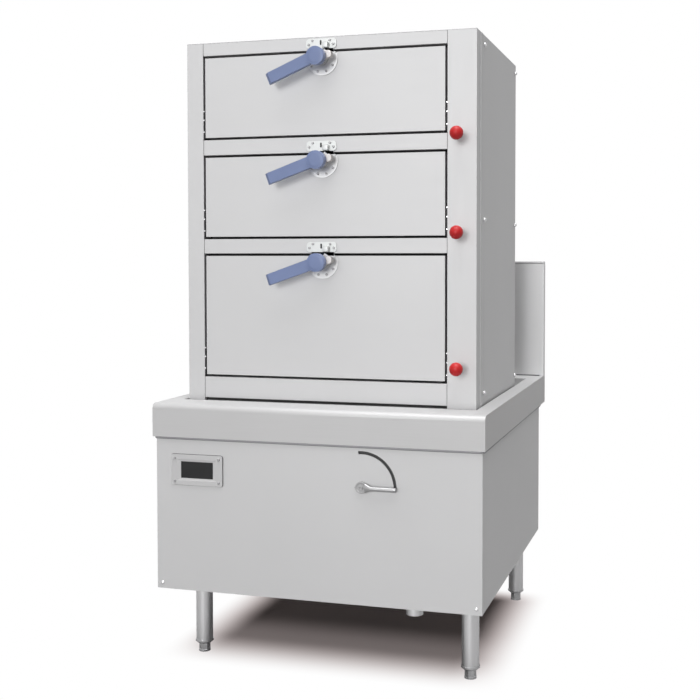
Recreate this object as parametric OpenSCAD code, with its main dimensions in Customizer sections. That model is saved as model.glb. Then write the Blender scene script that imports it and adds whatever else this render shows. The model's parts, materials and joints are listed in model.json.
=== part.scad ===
// Three-door seafood steamer: a stainless steam cabinet standing in the recessed top of an induction base.
// Millimetres, +Z up, front towards -Y, origin on the floor under the middle of the whole object.

/* [Base cabinet] */
// Gap between the steam cabinet's side and the wall of the rim's well
well_gap = 6; // [3:0.5:15]
// Depth over the top rim
rim_d = 1000; // [960:10:1100]
// Floor to the underside of the base cabinet
leg_h = 216; // [190:1:260]
// Height of the base panels that shows below the rim's skirt
base_h = 408; // [380:1:450]
// Height of the rim's skirt
skirt_h = 88; // [75:1:100]
// Radius of the rim's rounded front edge
bullnose_r = 15; // [8:1:20]
// Sheet of the top rim
rim_sheet = 3; // [2:0.5:4]
// Width of the rim's front flange
front_flange = 100; // [90:1:115]
// Width of the rim's side flanges
side_flange = 42; // [36:1:44]
// Width of the rim's rear flange
rear_flange = 125; // [110:1:140]
// Depth of the recessed well in the rim
well_depth = 60; // [50:1:70]
// Base panels behind the skirt, front and sides
body_inset = 8; // [6:1:12]
// Base rear panel in front of the rim's rear edge
rear_recess = 75; // [60:1:90]
// Height of the backsplash above the rim
splash_h = 368; // [250:1:450]
// Thickness of the backsplash
splash_t = 30; // [20:1:40]
// Leg of the angle bar of the base frame
angle_w = 25; // [22:1:27]
// Thickness of the angle bar
angle_t = 3; // [2:0.5:4]

/* [Steam cabinet] */
// Sheet of the panels, doors and chambers
sheet = 2; // [1.5:0.5:3]
// Width of the steam cabinet
cabinet_w = 804; // [790:1:812]
// Depth of the steam cabinet
cabinet_d = 574; // [560:1:600]
// Rim's front edge to the cabinet's face
cabinet_setback = 121; // [118:1:130]
// Width of the left post
left_post_w = 47; // [42:1:60]
// Width of the right post, which holds the steam valves
right_post_w = 76; // [72:1:90]
// Depth of a post's side
post_d = 80; // [75:1:95]
// Depth of the lap behind a side panel's edge
lap_d = 24; // [20:1:30]
// Bottom rail above the rim's top surface
rail_gap = 5; // [3:1:8]
// Height of the bottom rail
bottom_rail_h = 57; // [50:1:80]
// Height of the rail between the bottom and middle doors
lower_rail_h = 39; // [37:1:60]
// Height of the rail between the middle and top doors
upper_rail_h = 41; // [37:1:60]
// Height of the top rail
top_rail_h = 35; // [34:1:60]
// Depth of a rail
rail_d = 30; // [20:1:34]
// Seam between two sheets of the face or of the side
seam = 1; // [0.5:0.5:2]
// Toe plate behind the cabinet's face
toe_setback = 14; // [8:1:20]
// Height of the bottom door's opening
bottom_opening_h = 336; // [300:1:400]
// Height of the middle door's opening
middle_opening_h = 227; // [200:1:280]
// Height of the top door's opening
top_opening_h = 227; // [200:1:280]
// Depth of a steam chamber
chamber_d = 480; // [440:1:490]
// Stand-off of a rack above its chamber's floor
rack_up = 42; // [40:1:60]
// Width of the ledge under a rack
ledge_w = 15; // [10:1:20]
// Play round a rack
rack_play = 4; // [2:0.5:8]
// Depth of a rack
rack_d = 440; // [380:1:445]
// Slots across a rack
rack_columns = 7; // [4:1:10]
// Slots along a rack's depth
rack_rows = 4; // [2:1:6]
// Bar between two slots of a rack
rack_bar = 16; // [10:1:24]

/* [Doors] */
// Gap round a closed door
door_gap = 6.5; // [6:0.5:9]
// Depth of a door's skin
door_t = 38; // [34:1:42]
// Diameter of a hinge pin
hinge_pin_d = 8; // [6:0.5:9]
// Length of a hinge pin inside the door
hinge_pin_l = 14; // [10:1:20]
// Radial play of every shaft in its bore
shaft_play = 0.05; // [0.03:0.01:0.1]
// Hinge axis behind the door's face
hinge_in = 8; // [7.5:0.5:10]
// Hinge axis above the door's bottom edge
hinge_up = 10; // [9:0.5:12]
// Thickness of a hinge bracket
bracket_t = 3; // [2:0.5:3.5]
// Height of a hinge bracket
bracket_h = 74; // [60:1:90]
// Depth of a hinge bracket
bracket_d = 28; // [24:1:32]
// Width of a door seal's strip
seal_w = 24; // [18:1:30]
// Thickness of a door seal
seal_t = 8; // [6:1:10]
// Door liner to the seal, which also clears the swing
seal_gap = 2; // [1.8:0.1:3]

/* [Latches] */
// Latch spindle right of the opening's middle
latch_shift = 2.5; // [0:0.5:10]
// Latch spindle below the opening's top
latch_drop = 24; // [22:1:30]
// Radius of the latch plate
plate_r = 43; // [38:1:50]
// Thickness of the latch plate and the keeper
plate_t = 3; // [2:0.5:4]
// Diameter of the latch spindle
spindle_d = 16; // [12:1:20]
// Diameter of the handle's hub
hub_d = 54; // [48:1:58]
// Thickness of the handle
handle_t = 18; // [14:1:22]
// Door's face to the handle's front
handle_out = 60; // [52:1:66]
// Spindle to the handle's tip
handle_l = 145; // [120:1:160]
// Width of the handle's arm
handle_w = 32; // [26:1:36]
// Droop of the latched handle below level
handle_droop = 22; // [10:1:30]
// Bevel of the handle's tip
handle_bevel = 8; // [4:1:10]
// Thickness of the latch cam
cam_t = 9; // [6:1:12]
// Reach of the cam's tongue, just short of the keeper
cam_reach = 25.5; // [22:0.5:25.5]
// Width of the keeper
keeper_w = 84; // [70:1:95]
// Height of the keeper
keeper_h = 27; // [24:1:28]
// Keeper above the opening's top
keeper_up = 3; // [2:0.5:4]
// Catch on the keeper, width and height
catch_size = 16; // [12:1:18]

/* [Steam valves] */
// Diameter of a ball knob
ball_d = 35; // [30:1:40]
// Ball's middle in front of the post
ball_out = 48; // [44:1:55]
// Diameter of a valve rod
rod_d = 10; // [8:1:12]
// Pull of a valve rod
rod_pull = 40; // [25:1:45]
// Valve rod from the cabinet's right side
valve_in = 42; // [38:1:44]
// Bottom knob above its opening's bottom
bottom_knob_up = 43; // [30:1:60]
// Middle knob above its opening's bottom
middle_knob_up = 13; // [0:1:20]
// Top knob above its opening's bottom
top_knob_up = -6; // [-10:1:10]
// Diameter of a valve's body
valve_d = 36; // [30:1:40]
// Diameter of a steam nozzle
nozzle_d = 20; // [14:1:22]
// Diameter of the steam riser
riser_d = 34; // [28:1:38]

/* [Controls] */
// Width of the display's bezel
bezel_w = 146; // [130:1:160]
// Height of the display's bezel
bezel_h = 81; // [72:1:92]
// Thickness of the bezel
bezel_t = 4; // [3:0.5:6]
// Bezel's middle from the rim's left edge
bezel_in = 126; // [115:1:150]
// Middle of the controls below the skirt
control_drop = 86; // [80:1:95]
// Width of the display
display_w = 92; // [80:1:100]
// Height of the display
display_h = 44; // [36:1:50]
// Depth of the display unit behind the panel
display_d = 32; // [20:1:45]
// Gear lever's shaft right of the middle
lever_x = 131; // [100:1:160]
// Gear lever's shaft below the skirt
lever_drop = 106; // [104:1:120]
// Diameter of the gear lever's disc
lever_disc_d = 30; // [26:1:36]
// Diameter of the gear lever's arm
lever_arm_d = 12; // [10:1:14]
// Radius of the arc slot
slot_r = 88; // [80:1:90]
// Width of the arc slot
slot_w = 8; // [7:0.5:9]
// Swing of the gear lever
lever_swing = 92; // [60:1:95]
// Diameter of the gear lever's shaft
lever_shaft_d = 10; // [8:1:12]
// Gear switch behind the panel, width and height
switch_w = 60; // [50:1:70]
// Depth of the gear switch
switch_d = 40; // [30:1:50]

/* [Inside the base] */
// Width of the water tank
tank_w = 640; // [560:10:680]
// Depth of the water tank
tank_d = 530; // [500:10:540]
// Height of the water tank
tank_h = 180; // [150:5:190]
// Lip of the water tank
tank_lip = 20; // [15:1:25]
// Diameter of the induction coil
coil_d = 400; // [320:10:420]
// Thickness of the induction coil
coil_t = 12; // [10:1:16]
// Coil to the tank's bottom
coil_gap = 8; // [5:1:12]
// Winding turns shown on the coil
coil_turns = 9; // [5:1:11]
// Width of the inverter box
inverter_w = 240; // [200:5:260]
// Depth of the inverter box
inverter_d = 300; // [250:5:330]
// Height of the inverter box
inverter_h = 160; // [150:5:175]
// Diameter of the cooling fan
fan_d = 120; // [100:2:130]
// Blades of the cooling fan
fan_blades = 7; // [5:1:9]
// Drain's distance right of the middle
drain_x = 227; // [200:1:260]
// Drain's distance behind the rim's front edge
drain_in = 170; // [165:1:200]
// Outside diameter of the drain
drain_d = 46; // [40:1:50]
// Drain's end above the floor
drain_end = 153; // [120:1:180]
// Wall of the drain and feed pipes
pipe_wall = 3; // [2:0.5:4]
// Outside diameter of the water feed
feed_d = 21; // [18:0.5:27]
// Reach of the water feed behind the rear panel
feed_out = 40; // [34:1:50]
// Bore of the cable gland
gland_bore = 18; // [12:1:22]
// Reach of the cable gland behind the rear panel
gland_out = 26; // [20:1:40]

/* [Legs and screws] */
// Leg's middle from the rim's side edges
leg_in_x = 70; // [65:1:90]
// Front leg's middle from the rim's front edge
leg_in_front = 162; // [120:1:180]
// Rear leg's middle from the rim's rear edge
leg_in_rear = 142; // [130:1:180]
// Diameter of a leg tube
leg_d = 46; // [40:1:50]
// Wall of a leg tube
leg_wall = 2; // [1.5:0.5:3]
// Diameter of the collar at a leg's foot
collar_d = 50; // [50:1:56]
// Height of the collar
collar_h = 10; // [8:1:14]
// Diameter of a foot's round base
foot_d = 32; // [28:1:38]
// Foot's height below the collar
foot_h = 24; // [20:1:30]
// Height of a foot's round base
foot_base_h = 5; // [3:1:8]
// Diameter of a foot's stud
stud_d = 12; // [10:1:16]
// Travel of a foot
foot_travel = 25; // [10:1:30]
// Diameter of a panel screw's head
panel_screw_d = 10; // [8:0.5:12]
// Diameter of a bracket, plate or keeper screw's head
screw_head_d = 8; // [7:0.5:10]
// Diameter of a bezel screw's head
bezel_screw_d = 6.5; // [6.5:0.5:8]
// Diameter of a screw's shank
screw_d = 5; // [4:0.5:6]
// Length of a screw's shank
screw_l = 8; // [7:0.5:12]

/* [Hidden] */
$fn = 64;
eps = 0.5;
// Gap round a pipe or screw in its hole
hole_play = 0.3;
// Gap between two welded sheets of a chamber
weld_gap = 0.2;
// Stand-off of the gear lever's disc from the panel
lever_gap = 1;
lever_disc_t = 7;
// How far the gear lever stands in front of the rim
lever_front = lever_gap + lever_disc_t + lever_arm_d - body_inset;

// Width datums
cabinet_x = cabinet_w / 2;
well_x = cabinet_x + well_gap;
rim_w = 2 * (well_x + side_flange);
body_x = rim_w / 2 - body_inset;

// Depth datums
total_d = rim_d + lever_front;
rim_y0 = lever_front - total_d / 2;
rim_y1 = rim_y0 + rim_d;
body_y0 = rim_y0 + body_inset;
body_y1 = rim_y1 - rear_recess;
well_y0 = rim_y0 + front_flange;
well_y1 = rim_y1 - rear_flange;
face_y = rim_y0 + cabinet_setback;
cabinet_y1 = face_y + cabinet_d;

// Height datums
skirt_z = leg_h + base_h;
rim_top = skirt_z + skirt_h;
flange_z = rim_top - rim_sheet;
// Top of the base panels, clear of the inside of the rim's rounded edge
edge_r = bullnose_r - rim_sheet;
edge_in = max(0, bullnose_r - body_inset);
panel_top = flange_z - edge_r + sqrt(edge_r * edge_r - edge_in * edge_in) - hole_play;
well_z = rim_top - well_depth;
rail_z = rim_top + rail_gap;
opening_h = [bottom_opening_h, middle_opening_h, top_opening_h];
opening_z = [
  rail_z + bottom_rail_h,
  rail_z + bottom_rail_h + bottom_opening_h + lower_rail_h,
  rail_z + bottom_rail_h + bottom_opening_h + lower_rail_h + middle_opening_h + upper_rail_h
];
cabinet_top = opening_z[2] + top_opening_h + top_rail_h;
knob_up = [bottom_knob_up, middle_knob_up, top_knob_up];
levels = [0, 1, 2];

// Door opening, door and chamber
open_x0 = left_post_w - cabinet_x;
open_x1 = cabinet_x - right_post_w;
door_back = face_y + door_t + sheet;
seal_y = door_back + seal_gap;
flange_y = seal_y + seal_t;
chamber_x0 = open_x0 + seal_w;
chamber_x1 = open_x1 - seal_w;
chamber_y1 = flange_y + chamber_d;
function door_z(i) = opening_z[i] + door_gap;
function door_h(i) = opening_h[i] - 2 * door_gap;
function hinge_z(i) = door_z(i) + hinge_up;
hinge_y = face_y + hinge_in;
hinge_block = 2 * hinge_in - sheet;
function floor_z(i) = opening_z[i] + seal_w;
function ceiling_z(i) = opening_z[i] + opening_h[i] - seal_w;

// Latches
latch_x = (open_x0 + open_x1) / 2 + latch_shift;
function latch_z(i) = opening_z[i] + opening_h[i] - latch_drop;
plate_y = face_y - plate_t;
cam_y = plate_y - cam_t - eps;
cam_disc_d = spindle_d + 16;
handle_y = face_y - handle_out;
plate_screw_r = plate_r - 9;
plate_screw_angles = [-150, -110, -70, -30];

// Steam valves
valve_x = cabinet_x - valve_in;
function knob_z(i) = opening_z[i] + knob_up[i];
nozzle_up = 24;
function nozzle_z(i) = floor_z(i) + nozzle_up;
block_w = valve_d - 4;
block_y0 = flange_y + sheet + 2;
block_d = nozzle_d + 10;
block_y1 = block_y0 + block_d;
nozzle_y = block_y0 + block_d / 2;
riser_y = block_y1 + riser_d / 2 + 4;
rod_guide = 28;
rod_y1 = face_y + sheet + rod_pull + rod_guide;
riser_top = knob_z(2) + riser_d;
riser_z = well_z + 45;
branch_d = riser_d - 12;

// Controls
bezel_x = bezel_in - rim_w / 2;
control_z = skirt_z - control_drop;
lever_z = skirt_z - lever_drop;
lever_disc_y = body_y0 - lever_gap - lever_disc_t;
lever_arm_y = lever_disc_y - lever_arm_d / 2;
bezel_screw_in = 10;
slot_pin_d = slot_w - 2;
slot_margin = 4;
lever_l = slot_r + slot_pin_d;

// Inside the base
tank_y0 = face_y + toe_setback;
tank_top = well_z - rim_sheet;
tank_z = tank_top - tank_h;
throat_w = tank_w - 2 * tank_lip;
throat_y0 = tank_y0 + tank_lip;
throat_d = tank_d - 2 * tank_lip;
coil_y = tank_y0 + tank_d / 2;
coil_z = tank_z - coil_gap - coil_t;
coil_turn_pitch = (coil_d / 2 - 40) / coil_turns;
bar_z = coil_z - angle_w;
bar_ys = [coil_y - coil_d / 4, coil_y + coil_d / 4 - angle_w];
floor_top = leg_h + sheet;
inverter_x = -inverter_w - 60;
inverter_y = body_y1 - inverter_d - 90;
fan_x = inverter_x + inverter_w / 2;
fan_z = floor_top + inverter_h / 2;
fan_hub_d = 36;
fan_t = 22;
fan_pin_d = 8;
fan_y = inverter_y + sheet + 8;
fan_tip_gap = 4;
// Air slots in the floor in front of the fan
vent_slots = 9;
vent_w = 8;
vent_l = 150;
vent_y = inverter_y - 2 * vent_w * vent_slots - 20;
drain_y = rim_y0 + drain_in;
drain_pipe_d = drain_d - 6;
drain_flange_d = drain_d + 20;
drain_flange_t = 4;
feed_x = 200;
feed_z = tank_z + tank_h * 0.7;
feed_nut_d = feed_d + 14;
feed_nut_t = 8;
gland_x = inverter_x + 40;
gland_z = floor_top + 70;
gland_d = gland_bore + 22;
gland_flange_t = 6;

// Legs
leg_x = rim_w / 2 - leg_in_x;
leg_ys = [rim_y0 + leg_in_front, rim_y1 - leg_in_rear];
leg_plate_w = leg_d + 34;
leg_plate_t = 4;
leg_z = foot_h + collar_h;
socket_h = 32;
stud_top = foot_h + foot_travel + socket_h;

// Screws
screw_end = 26;
side_screw_zs = [rail_z + screw_end, (rail_z + cabinet_top) / 2, cabinet_top - screw_end];
side_screw_ys = [face_y + post_d + lap_d / 2, cabinet_y1 - sheet - lap_d / 2];
front_screw_xs = [sheet + angle_w / 2 - body_x, body_x - sheet - angle_w / 2];
front_screw_z = leg_h + sheet + angle_w / 2;
bracket_screw_ups = [32, 58];
bracket_y0 = face_y + sheet;
bracket_screw_y = bracket_y0 + bracket_d / 2;

steel = "lightgray";
dark_steel = "dimgray";

// Box between two corners
module span(low, high) {
  translate(low) cube(high - low);
}

// Cylinder along +Y from a point
module rod_y(from, d, l) {
  translate(from) rotate([-90, 0, 0]) cylinder(d = d, h = l);
}

// Cylinder along +X from a point
module rod_x(from, d, l) {
  translate(from) rotate([0, 90, 0]) cylinder(d = d, h = l);
}

// Screw with a domed head on the surface and its shank going down, along -Z
module screw(head_d) {
  head_h = head_d * 0.3;
  dome_r = (head_d * head_d / 4 + head_h * head_h) / (2 * head_h);
  intersection() {
    translate([0, 0, head_h - dome_r]) sphere(r = dome_r);
    cylinder(d = head_d, h = head_h);
  }
  translate([0, 0, -screw_l]) cylinder(d = screw_d, h = screw_l);
}

module screw_hole() {
  translate([0, 0, -2 * screw_l]) cylinder(d = screw_d + hole_play, h = 4 * screw_l);
}

// Places of the screws, with +Z out of the surface
module at_side_screws(sides = [-1, 1]) {
  for (side = sides, y = side_screw_ys, z = side_screw_zs)
    translate([side * cabinet_x, y, z]) rotate([0, side * 90, 0]) children();
}

module at_front_screws() {
  for (x = front_screw_xs) translate([x, body_y0, front_screw_z]) rotate([90, 0, 0]) children();
}

module at_bezel_screws() {
  for (sx = [-1, 1], sz = [-1, 1])
    translate([
      bezel_x + sx * (bezel_w / 2 - bezel_screw_in),
      body_y0 - bezel_t,
      control_z + sz * (bezel_h / 2 - bezel_screw_in)
    ]) rotate([90, 0, 0]) children();
}

module at_bracket_screws(sides = [-1, 1]) {
  for (i = levels, side = sides, up = bracket_screw_ups)
    translate([
      side < 0 ? open_x0 + bracket_t : open_x1 - bracket_t,
      bracket_screw_y,
      door_z(i) + up
    ]) rotate([0, -side * 90, 0]) children();
}

module at_legs() {
  for (sx = [-1, 1], y = leg_ys) translate([sx * leg_x, y, 0]) children();
}

// Legs and feet
module leg_tubes() {
  color(steel) at_legs() {
    difference() {
      translate([0, 0, leg_z]) cylinder(d = leg_d, h = leg_h - leg_z - leg_plate_t);
      translate([0, 0, leg_z - eps]) cylinder(d = leg_d - 2 * leg_wall, h = leg_h);
    }
    translate([-leg_plate_w / 2, -leg_plate_w / 2, leg_h - leg_plate_t])
      cube([leg_plate_w, leg_plate_w, leg_plate_t]);
  }
}

// Collar and threaded insert pressed into a leg's lower end
module leg_sockets() {
  insert_d = leg_d - 2 * leg_wall;
  color(dark_steel) at_legs() difference() {
    union() {
      translate([0, 0, foot_h]) cylinder(d1 = foot_d + 6, d2 = collar_d, h = collar_h / 2);
      translate([0, 0, foot_h + collar_h / 2]) cylinder(d = collar_d, h = collar_h / 2);
      translate([0, 0, leg_z]) cylinder(d = insert_d, h = socket_h);
    }
    translate([0, 0, foot_h - eps]) cylinder(d = stud_d + 2 * shaft_play, h = leg_h);
  }
}

// Hexagonal foot on a round base, with its stud
module foot(sx, row) {
  hex_d = foot_d - 1;
  hex_turn = 20;
  color(steel) translate([sx * leg_x, leg_ys[row], 0]) {
    cylinder(d = foot_d, h = foot_base_h);
    translate([0, 0, eps]) rotate(hex_turn) cylinder(d = hex_d, h = foot_h - eps, $fn = 6);
    translate([0, 0, 2 * eps]) cylinder(d = stud_d, h = stud_top - 2 * eps);
  }
}

module foot_front_left() { foot(-1, 0); }
module foot_front_right() { foot(1, 0); }
module foot_rear_left() { foot(-1, 1); }
module foot_rear_right() { foot(1, 1); }

// Angle bar frame inside the base panels
module base_frame() {
  x = body_x - sheet;
  y0 = body_y0 + sheet;
  y1 = body_y1 - sheet;
  color(dark_steel) difference() {
    union() {
      for (sx = [-1, 1]) {
        x_out = sx * x;
        x_in = sx * (x - angle_t);
        x_far = sx * (x - angle_w);
        x_gusset = sx * (leg_x - leg_plate_w / 2);
        for (end = [[y0, 1, panel_top], [y1, -1, flange_z]]) {
          y = end[0];
          s = end[1];
          top = end[2];
          span(
            [min(x_out, x_in), min(y, y + s * angle_w), floor_top],
            [max(x_out, x_in), max(y, y + s * angle_w), top]
          );
          span(
            [min(x_out, x_far), min(y, y + s * angle_t), floor_top],
            [max(x_out, x_far), max(y, y + s * angle_t), top]
          );
        }
        for (z = [floor_top, bar_z, panel_top - angle_w])
          span([min(x_out, x_in), y0, z], [max(x_out, x_in), y1, z + angle_w]);
        span([min(x_out, x_in), rim_y0 + bullnose_r, flange_z - angle_w], [max(x_out, x_in), y1, flange_z]);
        for (y = leg_ys) span(
          [min(x_out, x_gusset), y - leg_plate_w / 2, floor_top],
          [max(x_out, x_gusset), y + leg_plate_w / 2, floor_top + angle_t]
        );
      }
      for (z = [floor_top, panel_top - angle_w]) span([-x, y0, z], [x, y0 + angle_t, z + angle_w]);
      for (z = [floor_top, flange_z - angle_w]) span([-x, y1 - angle_t, z], [x, y1, z + angle_w]);
      for (y = bar_ys) {
        span([-x, y, bar_z], [x, y + angle_t, coil_z]);
        span([-x, y, coil_z - angle_t], [x, y + angle_w, coil_z]);
      }
    }
    at_front_screws() screw_hole();
    feed_hole();
    gland_hole();
  }
}

// Base panels
module arc_slot() {
  reach = 2 * slot_r;
  end_a = lever_swing + slot_margin;
  translate([lever_x, body_y0 + sheet + eps, lever_z]) rotate([90, 0, 0]) intersection() {
    difference() {
      cylinder(r = slot_r + slot_w / 2, h = sheet + 2 * eps);
      translate([0, 0, -eps]) cylinder(r = slot_r - slot_w / 2, h = sheet + 4 * eps);
    }
    translate([0, 0, -eps]) linear_extrude(sheet + 4 * eps) polygon([
      [0, 0],
      reach * [cos(slot_margin), -sin(slot_margin)],
      reach * [1, 1],
      reach * [cos(end_a), sin(end_a)]
    ]);
  }
}

module base_front_panel() {
  color(steel) difference() {
    span([-body_x, body_y0, leg_h], [body_x, body_y0 + sheet, panel_top]);
    arc_slot();
    rod_y([lever_x, body_y0 - eps, lever_z], lever_shaft_d + 2, sheet + 2 * eps);
    span(
      [bezel_x - display_w / 2 - 2, body_y0 - eps, control_z - display_h / 2 - 2],
      [bezel_x + display_w / 2 + 2, body_y0 + sheet + eps, control_z + display_h / 2 + 2]
    );
    at_front_screws() screw_hole();
    at_bezel_screws() screw_hole();
  }
}

module feed_hole() {
  rod_y([feed_x, tank_y0 + tank_d / 2, feed_z], feed_d + 2 * hole_play, rim_d);
}

module gland_hole() {
  rod_y([gland_x, body_y1 - angle_w, gland_z], gland_bore + 8 + 2 * hole_play, 2 * angle_w);
}

// Side panels and rear panel folded from one sheet
module base_shell() {
  color(steel) difference() {
    span([-body_x, body_y0 + sheet, leg_h], [body_x, body_y1, panel_top]);
    span([sheet - body_x, body_y0, leg_h - eps], [body_x - sheet, body_y1 - sheet, panel_top + eps]);
    feed_hole();
    gland_hole();
  }
}

module base_floor_panel() {
  color(steel) difference() {
    span([sheet - body_x, body_y0 + sheet, leg_h], [body_x - sheet, body_y1 - sheet, floor_top]);
    translate([drain_x, drain_y, leg_h - eps]) cylinder(d = drain_pipe_d + 2 * hole_play, h = sheet + 2 * eps);
    for (i = [0 : vent_slots - 1]) span(
      [fan_x - vent_l / 2, vent_y + 2 * i * vent_w, leg_h - eps],
      [fan_x + vent_l / 2, vent_y + (2 * i + 1) * vent_w, floor_top + eps]
    );
  }
}

// Top rim: skirt, rounded front edge, flanges and the recessed well
module rim_outline(inset, bottom) {
  r = bullnose_r - inset;
  y0 = rim_y0 + inset;
  y1 = rim_y1 - inset;
  top = rim_top - inset;
  translate([y0 + r, bottom]) square([y1 - y0 - r, top - bottom]);
  translate([y0, bottom]) square([r, top - r - bottom]);
  translate([y0 + r, top - r]) circle(r = r);
}

module along_x(l) {
  translate([-l / 2, 0, 0]) rotate([90, 0, 90]) linear_extrude(l) children();
}

module top_rim() {
  wall_x = well_x + rim_sheet;
  color(steel) difference() {
    along_x(rim_w) rim_outline(0, skirt_z);
    difference() {
      along_x(rim_w - 2 * rim_sheet) rim_outline(rim_sheet, skirt_z - eps);
      span(
        [-wall_x, well_y0 - rim_sheet, well_z - rim_sheet],
        [wall_x, well_y1 + rim_sheet, rim_top]
      );
    }
    span([-well_x, well_y0, well_z], [well_x, well_y1, rim_top + eps]);
    span(
      [-throat_w / 2, throat_y0, well_z - rim_sheet - eps],
      [throat_w / 2, throat_y0 + throat_d, well_z + eps]
    );
  }
}

module backsplash() {
  color(steel) difference() {
    span([-rim_w / 2, rim_y1 - splash_t, rim_top], [rim_w / 2, rim_y1, rim_top + splash_h]);
    span(
      [sheet - rim_w / 2, rim_y1 - splash_t + sheet, rim_top - eps],
      [rim_w / 2 - sheet, rim_y1 - sheet, rim_top + splash_h - sheet]
    );
  }
}

module panel_screws() {
  color("gray") {
    at_side_screws() screw(panel_screw_d);
    at_front_screws() screw(panel_screw_d);
    at_bezel_screws() screw(bezel_screw_d);
    at_bracket_screws() screw(screw_head_d);
  }
}

// Controls
module control_bezel() {
  color("white") difference() {
    span(
      [bezel_x - bezel_w / 2, body_y0 - bezel_t, control_z - bezel_h / 2],
      [bezel_x + bezel_w / 2, body_y0, control_z + bezel_h / 2]
    );
    span(
      [bezel_x - display_w / 2, body_y0 - bezel_t - eps, control_z - display_h / 2],
      [bezel_x + display_w / 2, body_y0 + eps, control_z + display_h / 2]
    );
    at_bezel_screws() screw_hole();
  }
}

module display_unit() {
  glass_sink = 1;
  lens_play = 0.2;
  color("black") span(
    [bezel_x - display_w / 2 + lens_play, body_y0 - bezel_t + glass_sink, control_z - display_h / 2 + lens_play],
    [bezel_x + display_w / 2 - lens_play, body_y0 + display_d, control_z + display_h / 2 - lens_play]
  );
}

module gear_switch() {
  color("black") difference() {
    span(
      [lever_x - switch_w / 2, body_y0 + sheet, lever_z - switch_w / 2],
      [lever_x + switch_w / 2, body_y0 + sheet + switch_d, lever_z + switch_w / 2]
    );
    rod_y([lever_x, body_y0, lever_z], lever_shaft_d + 2 * shaft_play, sheet + switch_d - 4);
  }
}

// Disc, arm, slot pin and shaft of the gear lever
module gear_lever() {
  shaft_l = switch_d - 8;
  color("silver") {
    rod_y([lever_x, lever_disc_y, lever_z], lever_disc_d, lever_disc_t);
    rod_y([lever_x, lever_disc_y, lever_z], lever_shaft_d, body_y0 + shaft_l - lever_disc_y);
    rod_x([lever_x, lever_arm_y, lever_z], lever_arm_d, lever_l);
    rod_y([lever_x, lever_disc_y - lever_arm_d, lever_z], lever_arm_d, lever_arm_d + eps);
    rod_y([lever_x + slot_r, lever_arm_y, lever_z], slot_pin_d, body_y0 + sheet + 3 - lever_arm_y);
  }
}

// Water, heat and steam
module water_tank() {
  color("silver") difference() {
    union() {
      span([-tank_w / 2, tank_y0, tank_z], [tank_w / 2, tank_y0 + tank_d, tank_top]);
      span(
        [-tank_w / 2 - tank_lip, tank_y0 - tank_lip, tank_top - sheet],
        [tank_w / 2 + tank_lip, tank_y0 + tank_d + tank_lip, tank_top]
      );
    }
    span(
      [sheet - tank_w / 2, tank_y0 + sheet, tank_z + sheet],
      [tank_w / 2 - sheet, tank_y0 + tank_d - sheet, tank_top + eps]
    );
    translate([drain_x, drain_y, tank_z - eps]) cylinder(d = drain_pipe_d - 2 * pipe_wall, h = sheet + 2 * eps);
    feed_hole();
  }
}

module induction_coil() {
  ridge_h = coil_t / 2;
  color("peru") translate([0, coil_y, coil_z]) {
    difference() {
      cylinder(d = coil_d, h = coil_t - ridge_h);
      translate([0, 0, -eps]) cylinder(d = 50, h = coil_t);
    }
    for (i = [0 : coil_turns - 1]) translate([0, 0, coil_t - ridge_h]) difference() {
      cylinder(r = coil_d / 2 - i * coil_turn_pitch, h = ridge_h);
      translate([0, 0, -eps]) cylinder(r = coil_d / 2 - (i + 0.6) * coil_turn_pitch, h = ridge_h + 2 * eps);
    }
  }
}

// Power unit with the fan's opening and the pin that the fan spins on
module inverter_box() {
  color("gainsboro") {
    difference() {
      span(
        [inverter_x, inverter_y, floor_top],
        [inverter_x + inverter_w, inverter_y + inverter_d, floor_top + inverter_h]
      );
      span(
        [inverter_x + sheet, inverter_y + sheet, floor_top + sheet],
        [inverter_x + inverter_w - sheet, inverter_y + inverter_d - sheet, floor_top + inverter_h - sheet]
      );
      rod_y([fan_x, inverter_y - eps, fan_z], fan_d + 2 * fan_tip_gap, sheet + 2 * eps);
    }
    span(
      [fan_x - fan_hub_d / 4, inverter_y, floor_top + sheet],
      [fan_x + fan_hub_d / 4, inverter_y + sheet, floor_top + inverter_h - sheet]
    );
    rod_y([fan_x, inverter_y, fan_z], fan_pin_d, fan_y + fan_t - inverter_y);
    rod_y([fan_x, inverter_y, fan_z], fan_pin_d + 8, fan_y - inverter_y - hole_play);
  }
}

module fan_rotor() {
  blade_t = 2.5;
  blade_inset = 1.5;
  blade_tilt = 35;
  color("black") translate([fan_x, fan_y, fan_z]) difference() {
    union() {
      rod_y([0, 0, 0], fan_hub_d, fan_t);
      for (i = [0 : fan_blades - 1]) rotate([0, i * 360 / fan_blades, 0]) intersection() {
        translate([0, fan_t / 2, 0]) rotate([0, 0, 90 - blade_tilt])
          translate([-fan_t, -blade_t / 2, fan_hub_d / 2 - 3]) cube([2 * fan_t, blade_t, fan_d]);
        rod_y([0, blade_inset, 0], fan_d, fan_t - 2 * blade_inset);
      }
    }
    rod_y([0, -eps, 0], fan_pin_d + 2 * shaft_play, fan_t + 2 * eps);
  }
}

module water_feed() {
  inside = 18;
  start_y = tank_y0 + tank_d - sheet - inside;
  color("goldenrod") difference() {
    union() {
      rod_y([feed_x, start_y, feed_z], feed_d, body_y1 + feed_out - start_y);
      rod_y([feed_x, body_y1, feed_z], feed_nut_d, feed_nut_t);
    }
    rod_y([feed_x, start_y - eps, feed_z], feed_d - 2 * pipe_wall, rim_d);
  }
}

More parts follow.
